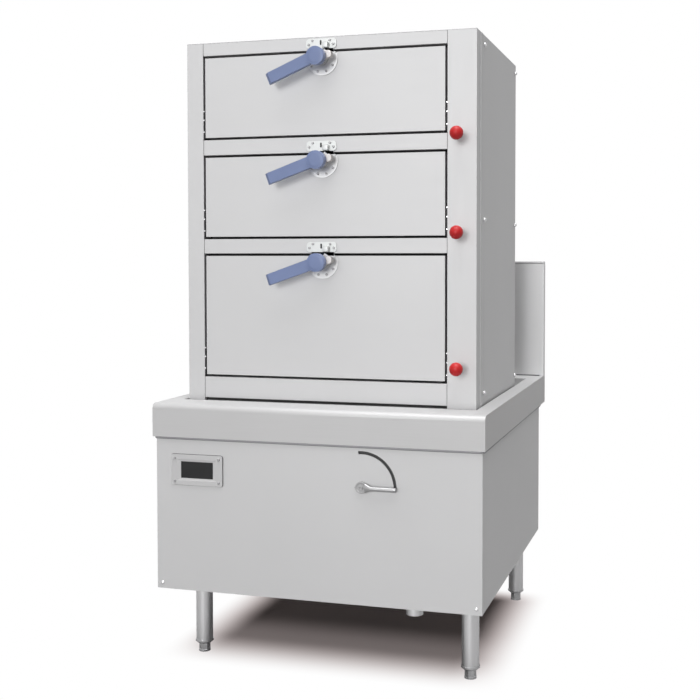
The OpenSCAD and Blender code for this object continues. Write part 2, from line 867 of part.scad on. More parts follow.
module drain_pipe() {
  color(steel) translate([drain_x, drain_y, 0]) difference() {
    union() {
      translate([0, 0, drain_end]) cylinder(d = drain_d, h = leg_h - drain_end);
      translate([0, 0, drain_end]) cylinder(d = drain_pipe_d, h = tank_z - drain_end);
      translate([0, 0, tank_z - drain_flange_t]) cylinder(d = drain_flange_d, h = drain_flange_t);
    }
    translate([0, 0, drain_end - eps]) cylinder(d = drain_pipe_d - 2 * pipe_wall, h = tank_z);
  }
}

module cable_gland() {
  color("black") difference() {
    union() {
      rod_y([gland_x, body_y1 - sheet - 8, gland_z], gland_bore + 8, sheet + 8);
      rod_y([gland_x, body_y1, gland_z], gland_d, gland_flange_t);
      rod_y([gland_x, body_y1 + gland_flange_t, gland_z], gland_d - 8, gland_out - gland_flange_t);
    }
    rod_y([gland_x, body_y1 - angle_w, gland_z], gland_bore, 4 * angle_w);
  }
}

// Upright steam pipe behind the right post, with a branch to each valve
module steam_riser() {
  bore = riser_d - 2 * pipe_wall;
  color("silver") difference() {
    union() {
      translate([valve_x, riser_y, riser_z]) cylinder(d = riser_d, h = riser_top - riser_z);
      for (i = levels) rod_y([valve_x, block_y1, knob_z(i)], branch_d, riser_y - block_y1);
    }
    translate([valve_x, riser_y, riser_z - eps]) cylinder(d = bore, h = riser_top - riser_z - pipe_wall);
    for (i = levels) rod_y([valve_x, block_y1 - eps, knob_z(i)], branch_d - 2 * pipe_wall, riser_y - block_y1);
  }
}

// Valve bodies behind the right post, each with a nozzle into its chamber
module steam_valves() {
  color("goldenrod") for (i = levels) difference() {
    union() {
      rod_y([valve_x, face_y + sheet, knob_z(i)], valve_d, block_y0 - face_y - sheet);
      span(
        [valve_x - block_w / 2, block_y0, min(knob_z(i), nozzle_z(i)) - block_w / 2],
        [valve_x + block_w / 2, block_y1, max(knob_z(i), nozzle_z(i)) + block_w / 2]
      );
      rod_x([chamber_x1 - sheet, nozzle_y, nozzle_z(i)], nozzle_d, valve_x - chamber_x1 + sheet);
    }
    rod_y([valve_x, face_y, knob_z(i)], rod_d + 2 * shaft_play, rod_y1 + 1 - face_y);
    rod_x([chamber_x1 - sheet - eps, nozzle_y, nozzle_z(i)], nozzle_d - 2 * pipe_wall, valve_x - chamber_x1);
  }
}

module valve_rod(i) {
  color("silver") rod_y([valve_x, face_y - ball_out, knob_z(i)], rod_d, rod_y1 - face_y + ball_out);
}

module valve_rod_bottom() { valve_rod(0); }
module valve_rod_middle() { valve_rod(1); }
module valve_rod_top() { valve_rod(2); }

module ball_knob(i) {
  flat = ball_d * 0.46;
  color("firebrick") translate([valve_x, face_y - ball_out, knob_z(i)]) rotate([-90, 0, 0]) rotate_extrude()
    difference() {
      circle(d = ball_d);
      translate([-ball_d, -ball_d]) square([ball_d, 2 * ball_d]);
      translate([-eps, flat]) square(ball_d);
      translate([-eps, 0]) square([rod_d / 2 + eps, ball_d]);
    }
}

module ball_knob_bottom() { ball_knob(0); }
module ball_knob_middle() { ball_knob(1); }
module ball_knob_top() { ball_knob(2); }

// Steam cabinet
// Folded post: face, jamb, side and the lap that the side panel is screwed to
module post(side, width) {
  jamb_y1 = flange_y + sheet;
  color(steel) difference() {
    mirror([side > 0 ? 0 : 1, 0, 0]) {
      span([cabinet_x - width, face_y, well_z], [cabinet_x, face_y + sheet, cabinet_top - sheet]);
      span([cabinet_x - width, face_y, well_z], [cabinet_x - width + sheet, jamb_y1, cabinet_top - sheet]);
      span([cabinet_x - sheet, face_y, well_z], [cabinet_x, face_y + post_d, cabinet_top - sheet]);
      span(
        [cabinet_x - 2 * sheet, face_y + post_d - sheet, well_z],
        [cabinet_x - sheet, face_y + post_d + lap_d, cabinet_top - sheet]
      );
    }
    at_side_screws([side]) screw_hole();
    at_bracket_screws([side]) screw_hole();
    if (side > 0) for (i = levels) rod_y([valve_x, face_y - eps, knob_z(i)], rod_d + 2, sheet + 2 * eps);
  }
}

module left_post() { post(-1, left_post_w); }
module right_post() { post(1, right_post_w); }

// Folded rail between the posts
module rail(z, h) {
  difference() {
    span([open_x0, face_y, z], [open_x1, face_y + rail_d, z + h]);
    span([open_x0 - eps, face_y + sheet, z + sheet], [open_x1 + eps, face_y + rail_d + eps, z + h - sheet]);
    for (end = [[open_x0 - eps, open_x0 + seam], [open_x1 - seam, open_x1 + eps]])
      span([end[0], face_y - eps, z - eps], [end[1], face_y + sheet, z + h + eps]);
  }
}

module front_rails() {
  color(steel) {
    rail(rail_z, bottom_rail_h);
    rail(opening_z[1] - lower_rail_h, lower_rail_h);
    rail(opening_z[2] - upper_rail_h, upper_rail_h);
    rail(cabinet_top - top_rail_h, top_rail_h - sheet);
    span([open_x0, face_y + toe_setback, well_z], [open_x1, face_y + toe_setback + sheet, rail_z]);
  }
}

module cabinet_side_panels() {
  color(steel) difference() {
    for (sx = [-1, 1]) mirror([sx > 0 ? 0 : 1, 0, 0])
      span([cabinet_x - sheet, face_y + post_d + seam, well_z], [cabinet_x, cabinet_y1, cabinet_top - sheet]);
    at_side_screws() screw_hole();
  }
}

module cabinet_back_panel() {
  x = cabinet_x - sheet;
  color(steel) difference() {
    span([-x, cabinet_y1 - sheet - lap_d, well_z], [x, cabinet_y1, cabinet_top - sheet]);
    span([sheet - x, face_y, well_z - eps], [x - sheet, cabinet_y1 - sheet, cabinet_top]);
    at_side_screws() screw_hole();
  }
}

module cabinet_top_panel() {
  color(steel) span([-cabinet_x, face_y, cabinet_top - sheet], [cabinet_x, cabinet_y1, cabinet_top]);
}

// Open-fronted chamber welded from sheets: the floor, ceiling and sides are folded out into the front flange,
// and the back has two stays to the cabinet's back
module chamber(i) {
  z0 = floor_z(i);
  z1 = ceiling_z(i);
  x0 = chamber_x0 - sheet;
  x1 = chamber_x1 + sheet;
  back_y = chamber_y1 - sheet;
  side_z0 = z0 + weld_gap;
  side_z1 = z1 - weld_gap;
  stay_w = 60;
  stay_z = z0 + 20;
  color("silver") {
    span([open_x0, flange_y, opening_z[i]], [open_x1, flange_y + sheet, z0]);
    span([x0, flange_y, z0 - sheet], [x1, chamber_y1, z0]);
    span([open_x0, flange_y, z1], [open_x1, flange_y + sheet, opening_z[i] + opening_h[i]]);
    span([x0, flange_y, z1], [x1, chamber_y1, z1 + sheet]);
    for (side = [[open_x0, chamber_x0, x0], [chamber_x1, open_x1, chamber_x1]]) difference() {
      union() {
        span([side[0], flange_y, side_z0], [side[1], flange_y + sheet, side_z1]);
        span([side[2], flange_y, side_z0], [side[2] + sheet, back_y - weld_gap, side_z1]);
      }
      rod_x([chamber_x1 - eps, nozzle_y, nozzle_z(i)], nozzle_d + 2 * hole_play, 2 * sheet);
    }
    span([x0, back_y, side_z0], [x1, chamber_y1, side_z1]);
    for (x = [chamber_x0, chamber_x1 - stay_w])
      span([x, chamber_y1 - eps, stay_z], [x + stay_w, cabinet_y1 - sheet, stay_z + sheet]);
    for (x = [chamber_x0 + weld_gap, chamber_x1 - ledge_w]) span(
      [x, flange_y + 2 * sheet + nozzle_d + 20, z0 + rack_up - sheet],
      [x + ledge_w - weld_gap, back_y - weld_gap, z0 + rack_up]
    );
  }
}

module chamber_bottom() { chamber(0); }
module chamber_middle() { chamber(1); }
module chamber_top() { chamber(2); }

// Perforated rack in each chamber
module steam_racks() {
  x0 = chamber_x0 + rack_play;
  x1 = chamber_x1 - rack_play;
  y1 = chamber_y1 - sheet - rack_play;
  y0 = y1 - rack_d;
  slot_x = (x1 - x0 - rack_bar) / rack_columns;
  slot_y = (y1 - y0 - rack_bar) / rack_rows;
  color("silver") for (i = levels) translate([0, 0, floor_z(i) + rack_up]) difference() {
    span([x0, y0, 0], [x1, y1, sheet]);
    for (c = [0 : rack_columns - 1], r = [0 : rack_rows - 1])
      translate([x0 + rack_bar + c * slot_x, y0 + rack_bar + r * slot_y, -eps])
        cube([slot_x - rack_bar, slot_y - rack_bar, sheet + 2 * eps]);
  }
}

module door_seals() {
  edge = 0.5;
  color("black") for (i = levels) difference() {
    span(
      [open_x0 + edge, seal_y, opening_z[i] + edge],
      [open_x1 - edge, flange_y, opening_z[i] + opening_h[i] - edge]
    );
    span([chamber_x0, seal_y - eps, floor_z(i)], [chamber_x1, flange_y + eps, ceiling_z(i)]);
  }
}

// Doors
module hinge_brackets() {
  pin_l = door_gap - bracket_t + hinge_pin_l;
  color("silver") for (i = levels) {
    z0 = door_z(i) - 3;
    difference() {
      for (x = [open_x0, open_x1 - bracket_t])
        span([x, bracket_y0, z0], [x + bracket_t, bracket_y0 + bracket_d, z0 + bracket_h]);
      at_bracket_screws() screw_hole();
    }
    for (x = [open_x0 + bracket_t, open_x1 - bracket_t - pin_l])
      rod_x([x, hinge_y, hinge_z(i)], hinge_pin_d, pin_l);
  }
}

// Outer tray of a door, with a bored block at each end of its hinge line
module door_skin(i) {
  x0 = open_x0 + door_gap;
  x1 = open_x1 - door_gap;
  block_l = hinge_pin_l + 4;
  color(steel) difference() {
    union() {
      difference() {
        span([x0, face_y, door_z(i)], [x1, face_y + door_t, door_z(i) + door_h(i)]);
        span(
          [x0 + sheet, face_y + sheet, door_z(i) + sheet],
          [x1 - sheet, face_y + door_t + eps, door_z(i) + door_h(i) - sheet]
        );
      }
      for (x = [x0, x1 - block_l]) span(
        [x, face_y, door_z(i)],
        [x + block_l, face_y + sheet + hinge_block, hinge_z(i) + hinge_pin_d]
      );
    }
    rod_x([x0 - eps, hinge_y, hinge_z(i)], hinge_pin_d + 2 * shaft_play, hinge_pin_l + 2);
    rod_x([x1 + eps - hinge_pin_l - 2, hinge_y, hinge_z(i)], hinge_pin_d + 2 * shaft_play, hinge_pin_l + 2);
    rod_y([latch_x, face_y - eps, latch_z(i)], spindle_d + 2, sheet + 2 * eps);
  }
}

module door_skin_bottom() { door_skin(0); }
module door_skin_middle() { door_skin(1); }
module door_skin_top() { door_skin(2); }

module door_liner(i) {
  color("silver") span(
    [open_x0 + door_gap, face_y + door_t, door_z(i)],
    [open_x1 - door_gap, door_back, door_z(i) + door_h(i)]
  );
}

module door_liner_bottom() { door_liner(0); }
module door_liner_middle() { door_liner(1); }
module door_liner_top() { door_liner(2); }

// Round plate, cut off at the door's top edge, that the spindle turns in
module latch_plate(i) {
  top = latch_drop - door_gap;
  color("white") translate([latch_x, plate_y, latch_z(i)]) difference() {
    union() {
      intersection() {
        rod_y([0, 0, 0], 2 * plate_r, plate_t);
        span([-plate_r, -eps, -plate_r], [plate_r, plate_t + eps, top]);
      }
      for (a = plate_screw_angles) rod_y(
        [plate_screw_r * cos(a), -1.2, plate_screw_r * sin(a)], screw_head_d - 1, plate_t
      );
    }
    rod_y([0, -eps, 0], spindle_d + 2 * shaft_play, plate_t + 2 * eps);
  }
}

module latch_plate_bottom() { latch_plate(0); }
module latch_plate_middle() { latch_plate(1); }
module latch_plate_top() { latch_plate(2); }

// Spindle with the cam whose tongue swings under the keeper
module latch_cam(i) {
  behind = 10;
  tongue_w = 13;
  color("silver") translate([latch_x, 0, latch_z(i)]) {
    rod_y([0, handle_y + 4, 0], spindle_d, face_y + behind - handle_y - 4);
    rod_y([0, cam_y, 0], cam_disc_d, cam_t);
    intersection() {
      rotate([0, 35, 0]) span([-tongue_w / 2, cam_y, 0], [tongue_w / 2, cam_y + cam_t, 2 * cam_reach]);
      rod_y([0, cam_y, 0], 2 * cam_reach, cam_t);
    }
  }
}

module latch_cam_bottom() { latch_cam(0); }
module latch_cam_middle() { latch_cam(1); }
module latch_cam_top() { latch_cam(2); }

// Lever handle: round hub and a bevelled arm, drooping to the left when latched
module latch_handle(i) {
  arm_inset = 2;
  arm_y0 = arm_inset;
  arm_y1 = handle_t - arm_inset;
  color("cornflowerblue") translate([latch_x, handle_y, latch_z(i)]) difference() {
    union() {
      rod_y([0, 0, 0], hub_d, handle_t);
      rotate([0, -handle_droop, 0]) translate([0, 0, -handle_w / 2]) linear_extrude(handle_w) polygon([
        [-spindle_d, arm_y0],
        [handle_bevel - handle_l, arm_y0],
        [-handle_l, arm_y0 + handle_bevel],
        [-handle_l, arm_y1],
        [-spindle_d, arm_y1]
      ]);
    }
    rod_y([0, 4, 0], spindle_d, handle_t);
  }
}

module latch_handle_bottom() { latch_handle(0); }
module latch_handle_middle() { latch_handle(1); }
module latch_handle_top() { latch_handle(2); }

// Keeper on the rail above each door, with its catch right of the spindle
module latch_keepers() {
  middle = (open_x0 + open_x1) / 2;
  catch_out = 14;
  screw_xs = [-keeper_w / 2 + 8, -keeper_w / 2 + 18, keeper_w / 2 - 18, keeper_w / 2 - 8];
  color("white") for (i = levels) translate([middle, 0, opening_z[i] + opening_h[i] + keeper_up]) {
    span([-keeper_w / 2, face_y - plate_t, 0], [keeper_w / 2, face_y, keeper_h]);
    translate([latch_shift + 4, face_y - plate_t - catch_out, 0])
      cube([catch_size, catch_out + eps, catch_size]);
    for (k = [0 : 3]) rod_y(
      [screw_xs[k], face_y - plate_t - 1.2, keeper_h * (k == 0 || k == 3 ? 0.3 : 0.75)],
      screw_head_d - 2,
      plate_t
    );
  }
}

leg_tubes();
leg_sockets();
base_frame();
base_front_panel();
base_shell();
base_floor_panel();
top_rim();
backsplash();
panel_screws();
control_bezel();
display_unit();
gear_switch();
water_tank();
induction_coil();
inverter_box();
water_feed();
drain_pipe();
cable_gland();
steam_riser();
steam_valves();
left_post();
right_post();
front_rails();
cabinet_side_panels();
cabinet_back_panel();
cabinet_top_panel();
chamber_bottom();
chamber_middle();
chamber_top();
steam_racks();
door_seals();
latch_keepers();
hinge_brackets();
door_skin_bottom();
door_skin_middle();
door_skin_top();
door_liner_bottom();
door_liner_middle();
door_liner_top();
latch_plate_bottom();
latch_plate_middle();
latch_plate_top();
latch_handle_bottom();
latch_handle_middle();
latch_handle_top();
latch_cam_bottom();
latch_cam_middle();
latch_cam_top();
ball_knob_bottom();
ball_knob_middle();
ball_knob_top();
valve_rod_bottom();
valve_rod_middle();
valve_rod_top();
gear_lever();
foot_front_left();
foot_front_right();
foot_rear_left();
foot_rear_right();
fan_rotor();
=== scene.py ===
import json
import math

import bpy
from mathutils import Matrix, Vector


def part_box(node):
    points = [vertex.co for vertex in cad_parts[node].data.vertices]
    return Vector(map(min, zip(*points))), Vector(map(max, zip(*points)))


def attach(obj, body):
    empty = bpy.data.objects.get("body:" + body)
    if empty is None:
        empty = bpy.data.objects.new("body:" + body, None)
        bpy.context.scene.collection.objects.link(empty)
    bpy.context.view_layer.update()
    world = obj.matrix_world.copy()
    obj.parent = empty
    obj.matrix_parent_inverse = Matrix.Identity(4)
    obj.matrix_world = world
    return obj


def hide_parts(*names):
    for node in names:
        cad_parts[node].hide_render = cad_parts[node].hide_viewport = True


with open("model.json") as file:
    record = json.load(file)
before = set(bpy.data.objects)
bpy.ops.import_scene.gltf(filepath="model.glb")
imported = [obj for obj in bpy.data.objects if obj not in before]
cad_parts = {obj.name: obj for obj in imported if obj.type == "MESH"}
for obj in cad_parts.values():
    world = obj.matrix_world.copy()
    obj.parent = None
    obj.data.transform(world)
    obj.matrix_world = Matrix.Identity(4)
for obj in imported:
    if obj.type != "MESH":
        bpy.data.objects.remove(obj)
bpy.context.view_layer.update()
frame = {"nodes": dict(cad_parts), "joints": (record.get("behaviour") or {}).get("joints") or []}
nodes = frame["nodes"]
LEVELS = ("bottom", "middle", "top")

# Camera, at the photograph's viewing angle
SENSOR_MM = 36
PHOTO_PX = 700
FOCAL_PX = 1105
AXIS_PX = (400, 298)
CAMERA_AT = (0.977, -3.132, 1.094)
CAMERA_YAW = math.radians(15.73)
CAMERA_DOWN = math.radians(2.0)


def add_camera():
    data = bpy.data.cameras.new("camera")
    data.sensor_width = SENSOR_MM
    data.lens = FOCAL_PX / PHOTO_PX * SENSOR_MM
    data.shift_x = 0.5 - AXIS_PX[0] / PHOTO_PX
    data.shift_y = AXIS_PX[1] / PHOTO_PX - 0.5
    camera = bpy.data.objects.new("camera", data)
    camera.location = CAMERA_AT
    camera.rotation_euler = (math.pi / 2 - CAMERA_DOWN, 0, CAMERA_YAW)
    bpy.context.scene.collection.objects.link(camera)
    bpy.context.scene.camera = camera


add_camera()


# Shader helpers
def new_material(name):
    material = bpy.data.materials.new(name)
    material.use_nodes = True
    return material, material.node_tree, material.node_tree.nodes["Principled BSDF"].inputs


def set_inputs(made, values):
    """Sets a shader node's inputs by name, an underscore standing for a space."""
    for name, value in values.items():
        made.inputs[name.replace("_", " ")].default_value = value


def add_node(tree, kind, **values):
    made = tree.nodes.new(kind)
    set_inputs(made, values)
    return made


def add_math(tree, operation, first, second):
    """A Math node of two inputs, each a socket or a number."""
    made = tree.nodes.new("ShaderNodeMath")
    made.operation = operation
    for socket, value in zip(made.inputs, (first, second)):
        if isinstance(value, (int, float)):
            socket.default_value = value
        else:
            tree.links.new(value, socket)
    return made.outputs[0]


def add_range(tree, value, low, high):
    """Spreads a value from 0 to 1 over low to high."""
    made = add_node(tree, "ShaderNodeMapRange", To_Min=low, To_Max=high)
    tree.links.new(value, made.inputs["Value"])
    return made.outputs["Result"]


def add_mix(tree, factor, first, second):
    """Mixes two colours."""
    made = tree.nodes.new("ShaderNodeMix")
    made.data_type = "RGBA"
    tree.links.new(factor, made.inputs["Factor"])
    for socket, colour in zip(made.inputs[6:8], (first, second)):
        if isinstance(colour, bpy.types.NodeSocket):
            tree.links.new(colour, socket)
        else:
            socket.default_value = (*colour, 1)
    return made.outputs[2]


def seen_rays(tree):
    """1 for the rays that see the background: camera, glossy and transmission rays."""
    path = tree.nodes.new("ShaderNodeLightPath").outputs
    seen = add_math(tree, "ADD", path["Is Camera Ray"], path["Is Glossy Ray"])
    seen = add_math(tree, "ADD", seen, path["Is Transmission Ray"])
    return add_math(tree, "MINIMUM", seen, 1.0)


# Studio: white surroundings, a floor with a painted shadow tone and a painted white glow, soft suns in
# front and above, and a grey wall at the right
FILL = 0.12
FILL_TONE = (1.0, 0.93, 0.90)
FLOOR_SIZE = 12
# The floor's dark, warm tone where it keeps the shadow is painted shade, deepening the real shadow under
# the object
FLOOR_SHADOW_TONE = 0.32
FLOOR_SHADOW_TINT = (1.0, 0.85, 0.83)
FLOOR_REFLECTED = 0.57
FLOOR_BOUNCE = 0.20
# Where the floor keeps its shadow: past the sides, front and back it fades into a painted white glow, and
# the lift covers a share of it at the front with painted light
SHADOW_MIDDLE = -0.012
SHADOW_SIDES = (0.320, 0.500)
SHADOW_LIFT = (0.02, -0.18)
SHADOW_LIFT_SHARE = 0.12
SHADOW_FRONT = (-0.18, -0.44)
SHADOW_BACK = (0.32, 0.46)
# Each sun's side, strength and spread
SUNS = [
    ((-0.04, -0.98, 0.15), 1.02, math.radians(20)),
    ((0.10, -0.20, 0.975), 2.65, math.radians(50)),
]
WALL_TONE = 0.52
WALL_SIZE = 8
WALL_AT = (1.7, 1.6, 2.0)


def set_world():
    world = bpy.data.worlds.new("studio")
    world.use_nodes = True
    tree = world.node_tree
    background = tree.nodes["Background"]
    seen = seen_rays(tree)
    tree.links.new(add_mix(tree, seen, FILL_TONE, (1, 1, 1)), background.inputs["Color"])
    tree.links.new(add_range(tree, seen, FILL, 1.0), background.inputs["Strength"])
    bpy.context.scene.world = world


def kept_shadow(tree):
    """1 under the object, falling to 0 just past its footprint; where it falls, the floor's painted white
    glow covers the real shadow.
    """
    place = tree.nodes.new("ShaderNodeSeparateXYZ")
    tree.links.new(tree.nodes.new("ShaderNodeTexCoord").outputs["Object"], place.inputs[0])
    across = add_math(tree, "SUBTRACT", place.outputs["X"], SHADOW_MIDDLE)
    aside = add_math(tree, "ABSOLUTE", across, 0.0)
    kept = 1.0
    for value, (near, far), share in (
        (aside, SHADOW_SIDES, 1.0),
        (place.outputs["Y"], SHADOW_LIFT, SHADOW_LIFT_SHARE),
        (place.outputs["Y"], SHADOW_FRONT, 1.0),
        (place.outputs["Y"], SHADOW_BACK, 1.0),
    ):
        fall = add_node(
            tree, "ShaderNodeMapRange", From_Min=near, From_Max=far, To_Min=1.0, To_Max=1.0 - share
        )
        fall.interpolation_type = "SMOOTHSTEP"
        tree.links.new(value, fall.inputs["Value"])
        kept = add_math(tree, "MULTIPLY", fall.outputs["Result"], kept)
    return kept


def floor_material():
    """A floor that takes the shadow under the object, with a dark, warm tone there as painted shade, and
    fades into a plain white glow around it that paints light over the shadow's edges.
    """
    material, tree, shader = new_material("painted_shadow_floor")
    shader["Roughness"].default_value = 1.0
    shader["Specular IOR Level"].default_value = 0.0
    path = tree.nodes.new("ShaderNodeLightPath").outputs
    mirrored = add_math(tree, "MULTIPLY", path["Is Glossy Ray"], FLOOR_REFLECTED - FLOOR_BOUNCE)
    unseen = add_math(tree, "ADD", mirrored, FLOOR_BOUNCE)
    hidden = add_math(tree, "SUBTRACT", 1.0, kept_shadow(tree))
    white = add_math(tree, "MULTIPLY", hidden, path["Is Camera Ray"])
    shaded = add_math(tree, "SUBTRACT", 1.0, white)
    viewed = tree.nodes.new("ShaderNodeVectorMath")
    viewed.operation = "SCALE"
    viewed.inputs[0].default_value = [FLOOR_SHADOW_TONE * tint for tint in FLOOR_SHADOW_TINT]
    tree.links.new(shaded, viewed.inputs["Scale"])
    grey = tree.nodes.new("ShaderNodeCombineXYZ")
    for socket in grey.inputs:
        tree.links.new(unseen, socket)
    tone = add_mix(tree, path["Is Camera Ray"], grey.outputs[0], viewed.outputs["Vector"])
    tree.links.new(tone, shader["Base Color"])
    # Painted light: the floor glows white where its shadow fades out, warm-tinted at the shadow's edge
    tree.links.new(white, shader["Emission Strength"])
    tree.links.new(add_mix(tree, white, FLOOR_SHADOW_TINT, (1, 1, 1)), shader["Emission Color"])
    return material


def wall_material():
    material, _, shader = new_material("grey_wall")
    shader["Base Color"].default_value = (0, 0, 0, 1)
    shader["Emission Color"].default_value = (WALL_TONE, WALL_TONE, WALL_TONE, 1)
    shader["Emission Strength"].default_value = 1.0
    return material


def add_plane(name, size, place, turn, material):
    bpy.ops.object.select_all(action="DESELECT")
    bpy.ops.mesh.primitive_plane_add(size=size, location=place, rotation=turn)
    plane = bpy.context.object
    plane.name = name
    plane.data.materials.append(material)
    return plane


def add_sun(from_side, strength, spread):
    sun = bpy.data.objects.new("sun", bpy.data.lights.new("sun", "SUN"))
    sun.rotation_euler = (-Vector(from_side)).to_track_quat("-Z", "Y").to_euler()
    sun.data.energy = strength
    sun.data.angle = spread
    bpy.context.scene.collection.objects.link(sun)


def add_stage():
    add_plane("floor", FLOOR_SIZE, (0, 0, 0), (0, 0, 0), floor_material())
    wall = add_plane("grey_wall", WALL_SIZE, WALL_AT, (0, -math.pi / 2, 0), wall_material())
    wall.visible_camera = False
    wall.visible_diffuse = False
    wall.visible_shadow = False
    for from_side, strength, spread in SUNS:
        add_sun(from_side, strength, spread)


set_world()
add_stage()
bpy.context.scene.view_settings.view_transform = "Standard"


# Shared surface effects, with the grain's scales along and across the rolling direction
GRAIN_ALONG = 6
GRAIN_ACROSS = 700
ALONG_X = (GRAIN_ALONG, GRAIN_ACROSS, GRAIN_ACROSS)
ALONG_Y = (GRAIN_ACROSS, GRAIN_ALONG, GRAIN_ACROSS)
ALONG_Z = (GRAIN_ACROSS, GRAIN_ACROSS, GRAIN_ALONG)


def new_group(name, inputs, outputs):
    """A shader node group, from its inputs' names, types and values and its outputs' names and types."""
    group = bpy.data.node_groups.new(name, "ShaderNodeTree")
    for label, kind, value in inputs:
        socket = group.interface.new_socket(label, in_out="INPUT", socket_type=kind)
        socket.default_value = value
    for label, kind in outputs:
        group.interface.new_socket(label, in_out="OUTPUT", socket_type=kind)
    return group, group.nodes.new("NodeGroupInput").outputs, group.nodes.new("NodeGroupOutput").inputs


def place_group(tree, group, **values):
    made = tree.nodes.new("ShaderNodeGroup")
    made.node_tree = group
    set_inputs(made, values)
    return made.outputs


def brushed_grain_group():
    """Fine streaks drawn out along one direction, and a slow cloud over them."""
    group, given, out = new_group(
        "brushed_grain",
        [("Stretch", "NodeSocketVector", ALONG_X), ("Cloud Scale", "NodeSocketFloat", 3.0)],
        [("Streaks", "NodeSocketFloat"), ("Cloud", "NodeSocketFloat")],
    )
    place = group.nodes.new("ShaderNodeTexCoord").outputs["Object"]
    drawn = group.nodes.new("ShaderNodeVectorMath")
    drawn.operation = "MULTIPLY"
    group.links.new(place, drawn.inputs[0])
    group.links.new(given["Stretch"], drawn.inputs[1])
    streaks = add_node(group, "ShaderNodeTexNoise", Scale=1.0, Detail=3.0, Roughness=0.65)
    group.links.new(drawn.outputs[0], streaks.inputs["Vector"])
    cloud = add_node(group, "ShaderNodeTexNoise", Detail=2.0, Roughness=0.5)
    group.links.new(place, cloud.inputs["Vector"])
    group.links.new(given["Cloud Scale"], cloud.inputs["Scale"])
    group.links.new(streaks.outputs["Fac"], out["Streaks"])
    group.links.new(cloud.outputs["Fac"], out["Cloud"])
    return group


BRUSHED_GRAIN = brushed_grain_group()


# Finishes
STREAK_SHARE = 0.6
GRAIN_BUMP = 0.5
SKIN_BUMP = 0.4
SKIN_GLOSS_SPREAD = 0.06
SKIN_CLOUD_SCALE = 14.0
COAT_ROUGHNESS = 0.08


def steel(name, dark, light, roughness, stretch, spread=0.10, relief=0.00003, metallic=1.0):
    """Brushed stainless sheet: streaks in its tone and gloss, drawn along the rolling direction."""
    material, tree, shader = new_material(name)
    shader["Metallic"].default_value = metallic
    grain = place_group(tree, BRUSHED_GRAIN, Stretch=stretch)
    streaks = add_math(tree, "MULTIPLY", grain["Streaks"], STREAK_SHARE)
    cloud = add_math(tree, "MULTIPLY", grain["Cloud"], 1.0 - STREAK_SHARE)
    blend = add_math(tree, "ADD", streaks, cloud)
    tree.links.new(add_mix(tree, blend, dark, light), shader["Base Color"])
    gloss = add_range(tree, grain["Streaks"], roughness - spread, roughness + spread)
    tree.links.new(gloss, shader["Roughness"])
    bump = add_node(tree, "ShaderNodeBump", Strength=GRAIN_BUMP, Distance=relief)
    tree.links.new(grain["Streaks"], bump.inputs["Height"])
    tree.links.new(bump.outputs["Normal"], shader["Normal"])
    return material


def moulded(name, dark, light, roughness, coat=0.0, grain_scale=900.0, relief=0.00004):
    """Moulded plastic, paint or rubber: a fine skin grain and a slow change of tone."""
    material, tree, shader = new_material(name)
    place = tree.nodes.new("ShaderNodeTexCoord").outputs["Object"]
    skin = add_node(tree, "ShaderNodeTexNoise", Scale=grain_scale, Detail=2.0)
    cloud = add_node(tree, "ShaderNodeTexNoise", Scale=SKIN_CLOUD_SCALE, Detail=2.0)
    for texture in (skin, cloud):
        tree.links.new(place, texture.inputs["Vector"])
    tree.links.new(add_mix(tree, cloud.outputs["Fac"], dark, light), shader["Base Color"])
    duller, glossier = roughness + SKIN_GLOSS_SPREAD, roughness - SKIN_GLOSS_SPREAD
    gloss = add_range(tree, cloud.outputs["Fac"], glossier, duller)
    tree.links.new(gloss, shader["Roughness"])
    shader["Coat Weight"].default_value = coat
    shader["Coat Roughness"].default_value = COAT_ROUGHNESS
    bump = add_node(tree, "ShaderNodeBump", Strength=SKIN_BUMP, Distance=relief)
    tree.links.new(skin.outputs["Fac"], bump.inputs["Height"])
    tree.links.new(bump.outputs["Normal"], shader["Normal"])
    return material


SHEET_DARK = (0.515, 0.515, 0.52)
SHEET_LIGHT = (0.60, 0.60, 0.605)
SHEET_ROUGHNESS = 0.60
sheet_across = steel("stainless_across", SHEET_DARK, SHEET_LIGHT, SHEET_ROUGHNESS, ALONG_X, metallic=0.75)
sheet_upright = steel("stainless_upright", SHEET_DARK, SHEET_LIGHT, SHEET_ROUGHNESS, ALONG_Z, metallic=0.75)
sheet_side = steel("stainless_side", SHEET_DARK, SHEET_LIGHT, SHEET_ROUGHNESS, ALONG_Y, metallic=0.75)
# Painted light: the rim and the backsplash are lighter copies of the sheet steel, the rim also far less
# metallic, so they read brighter as if more lit
lit_rim_steel = steel("lit_rim_steel", (0.60, 0.60, 0.605), (0.70, 0.70, 0.705), 0.52, ALONG_X, metallic=0.2)
lit_splash_steel = steel("lit_splash_steel", (0.63, 0.63, 0.635), (0.72, 0.72, 0.725), 0.46, ALONG_Z, metallic=0.65)
chamber_steel = steel("chamber_steel", (0.50, 0.50, 0.50), (0.62, 0.62, 0.62), 0.34, ALONG_Y)
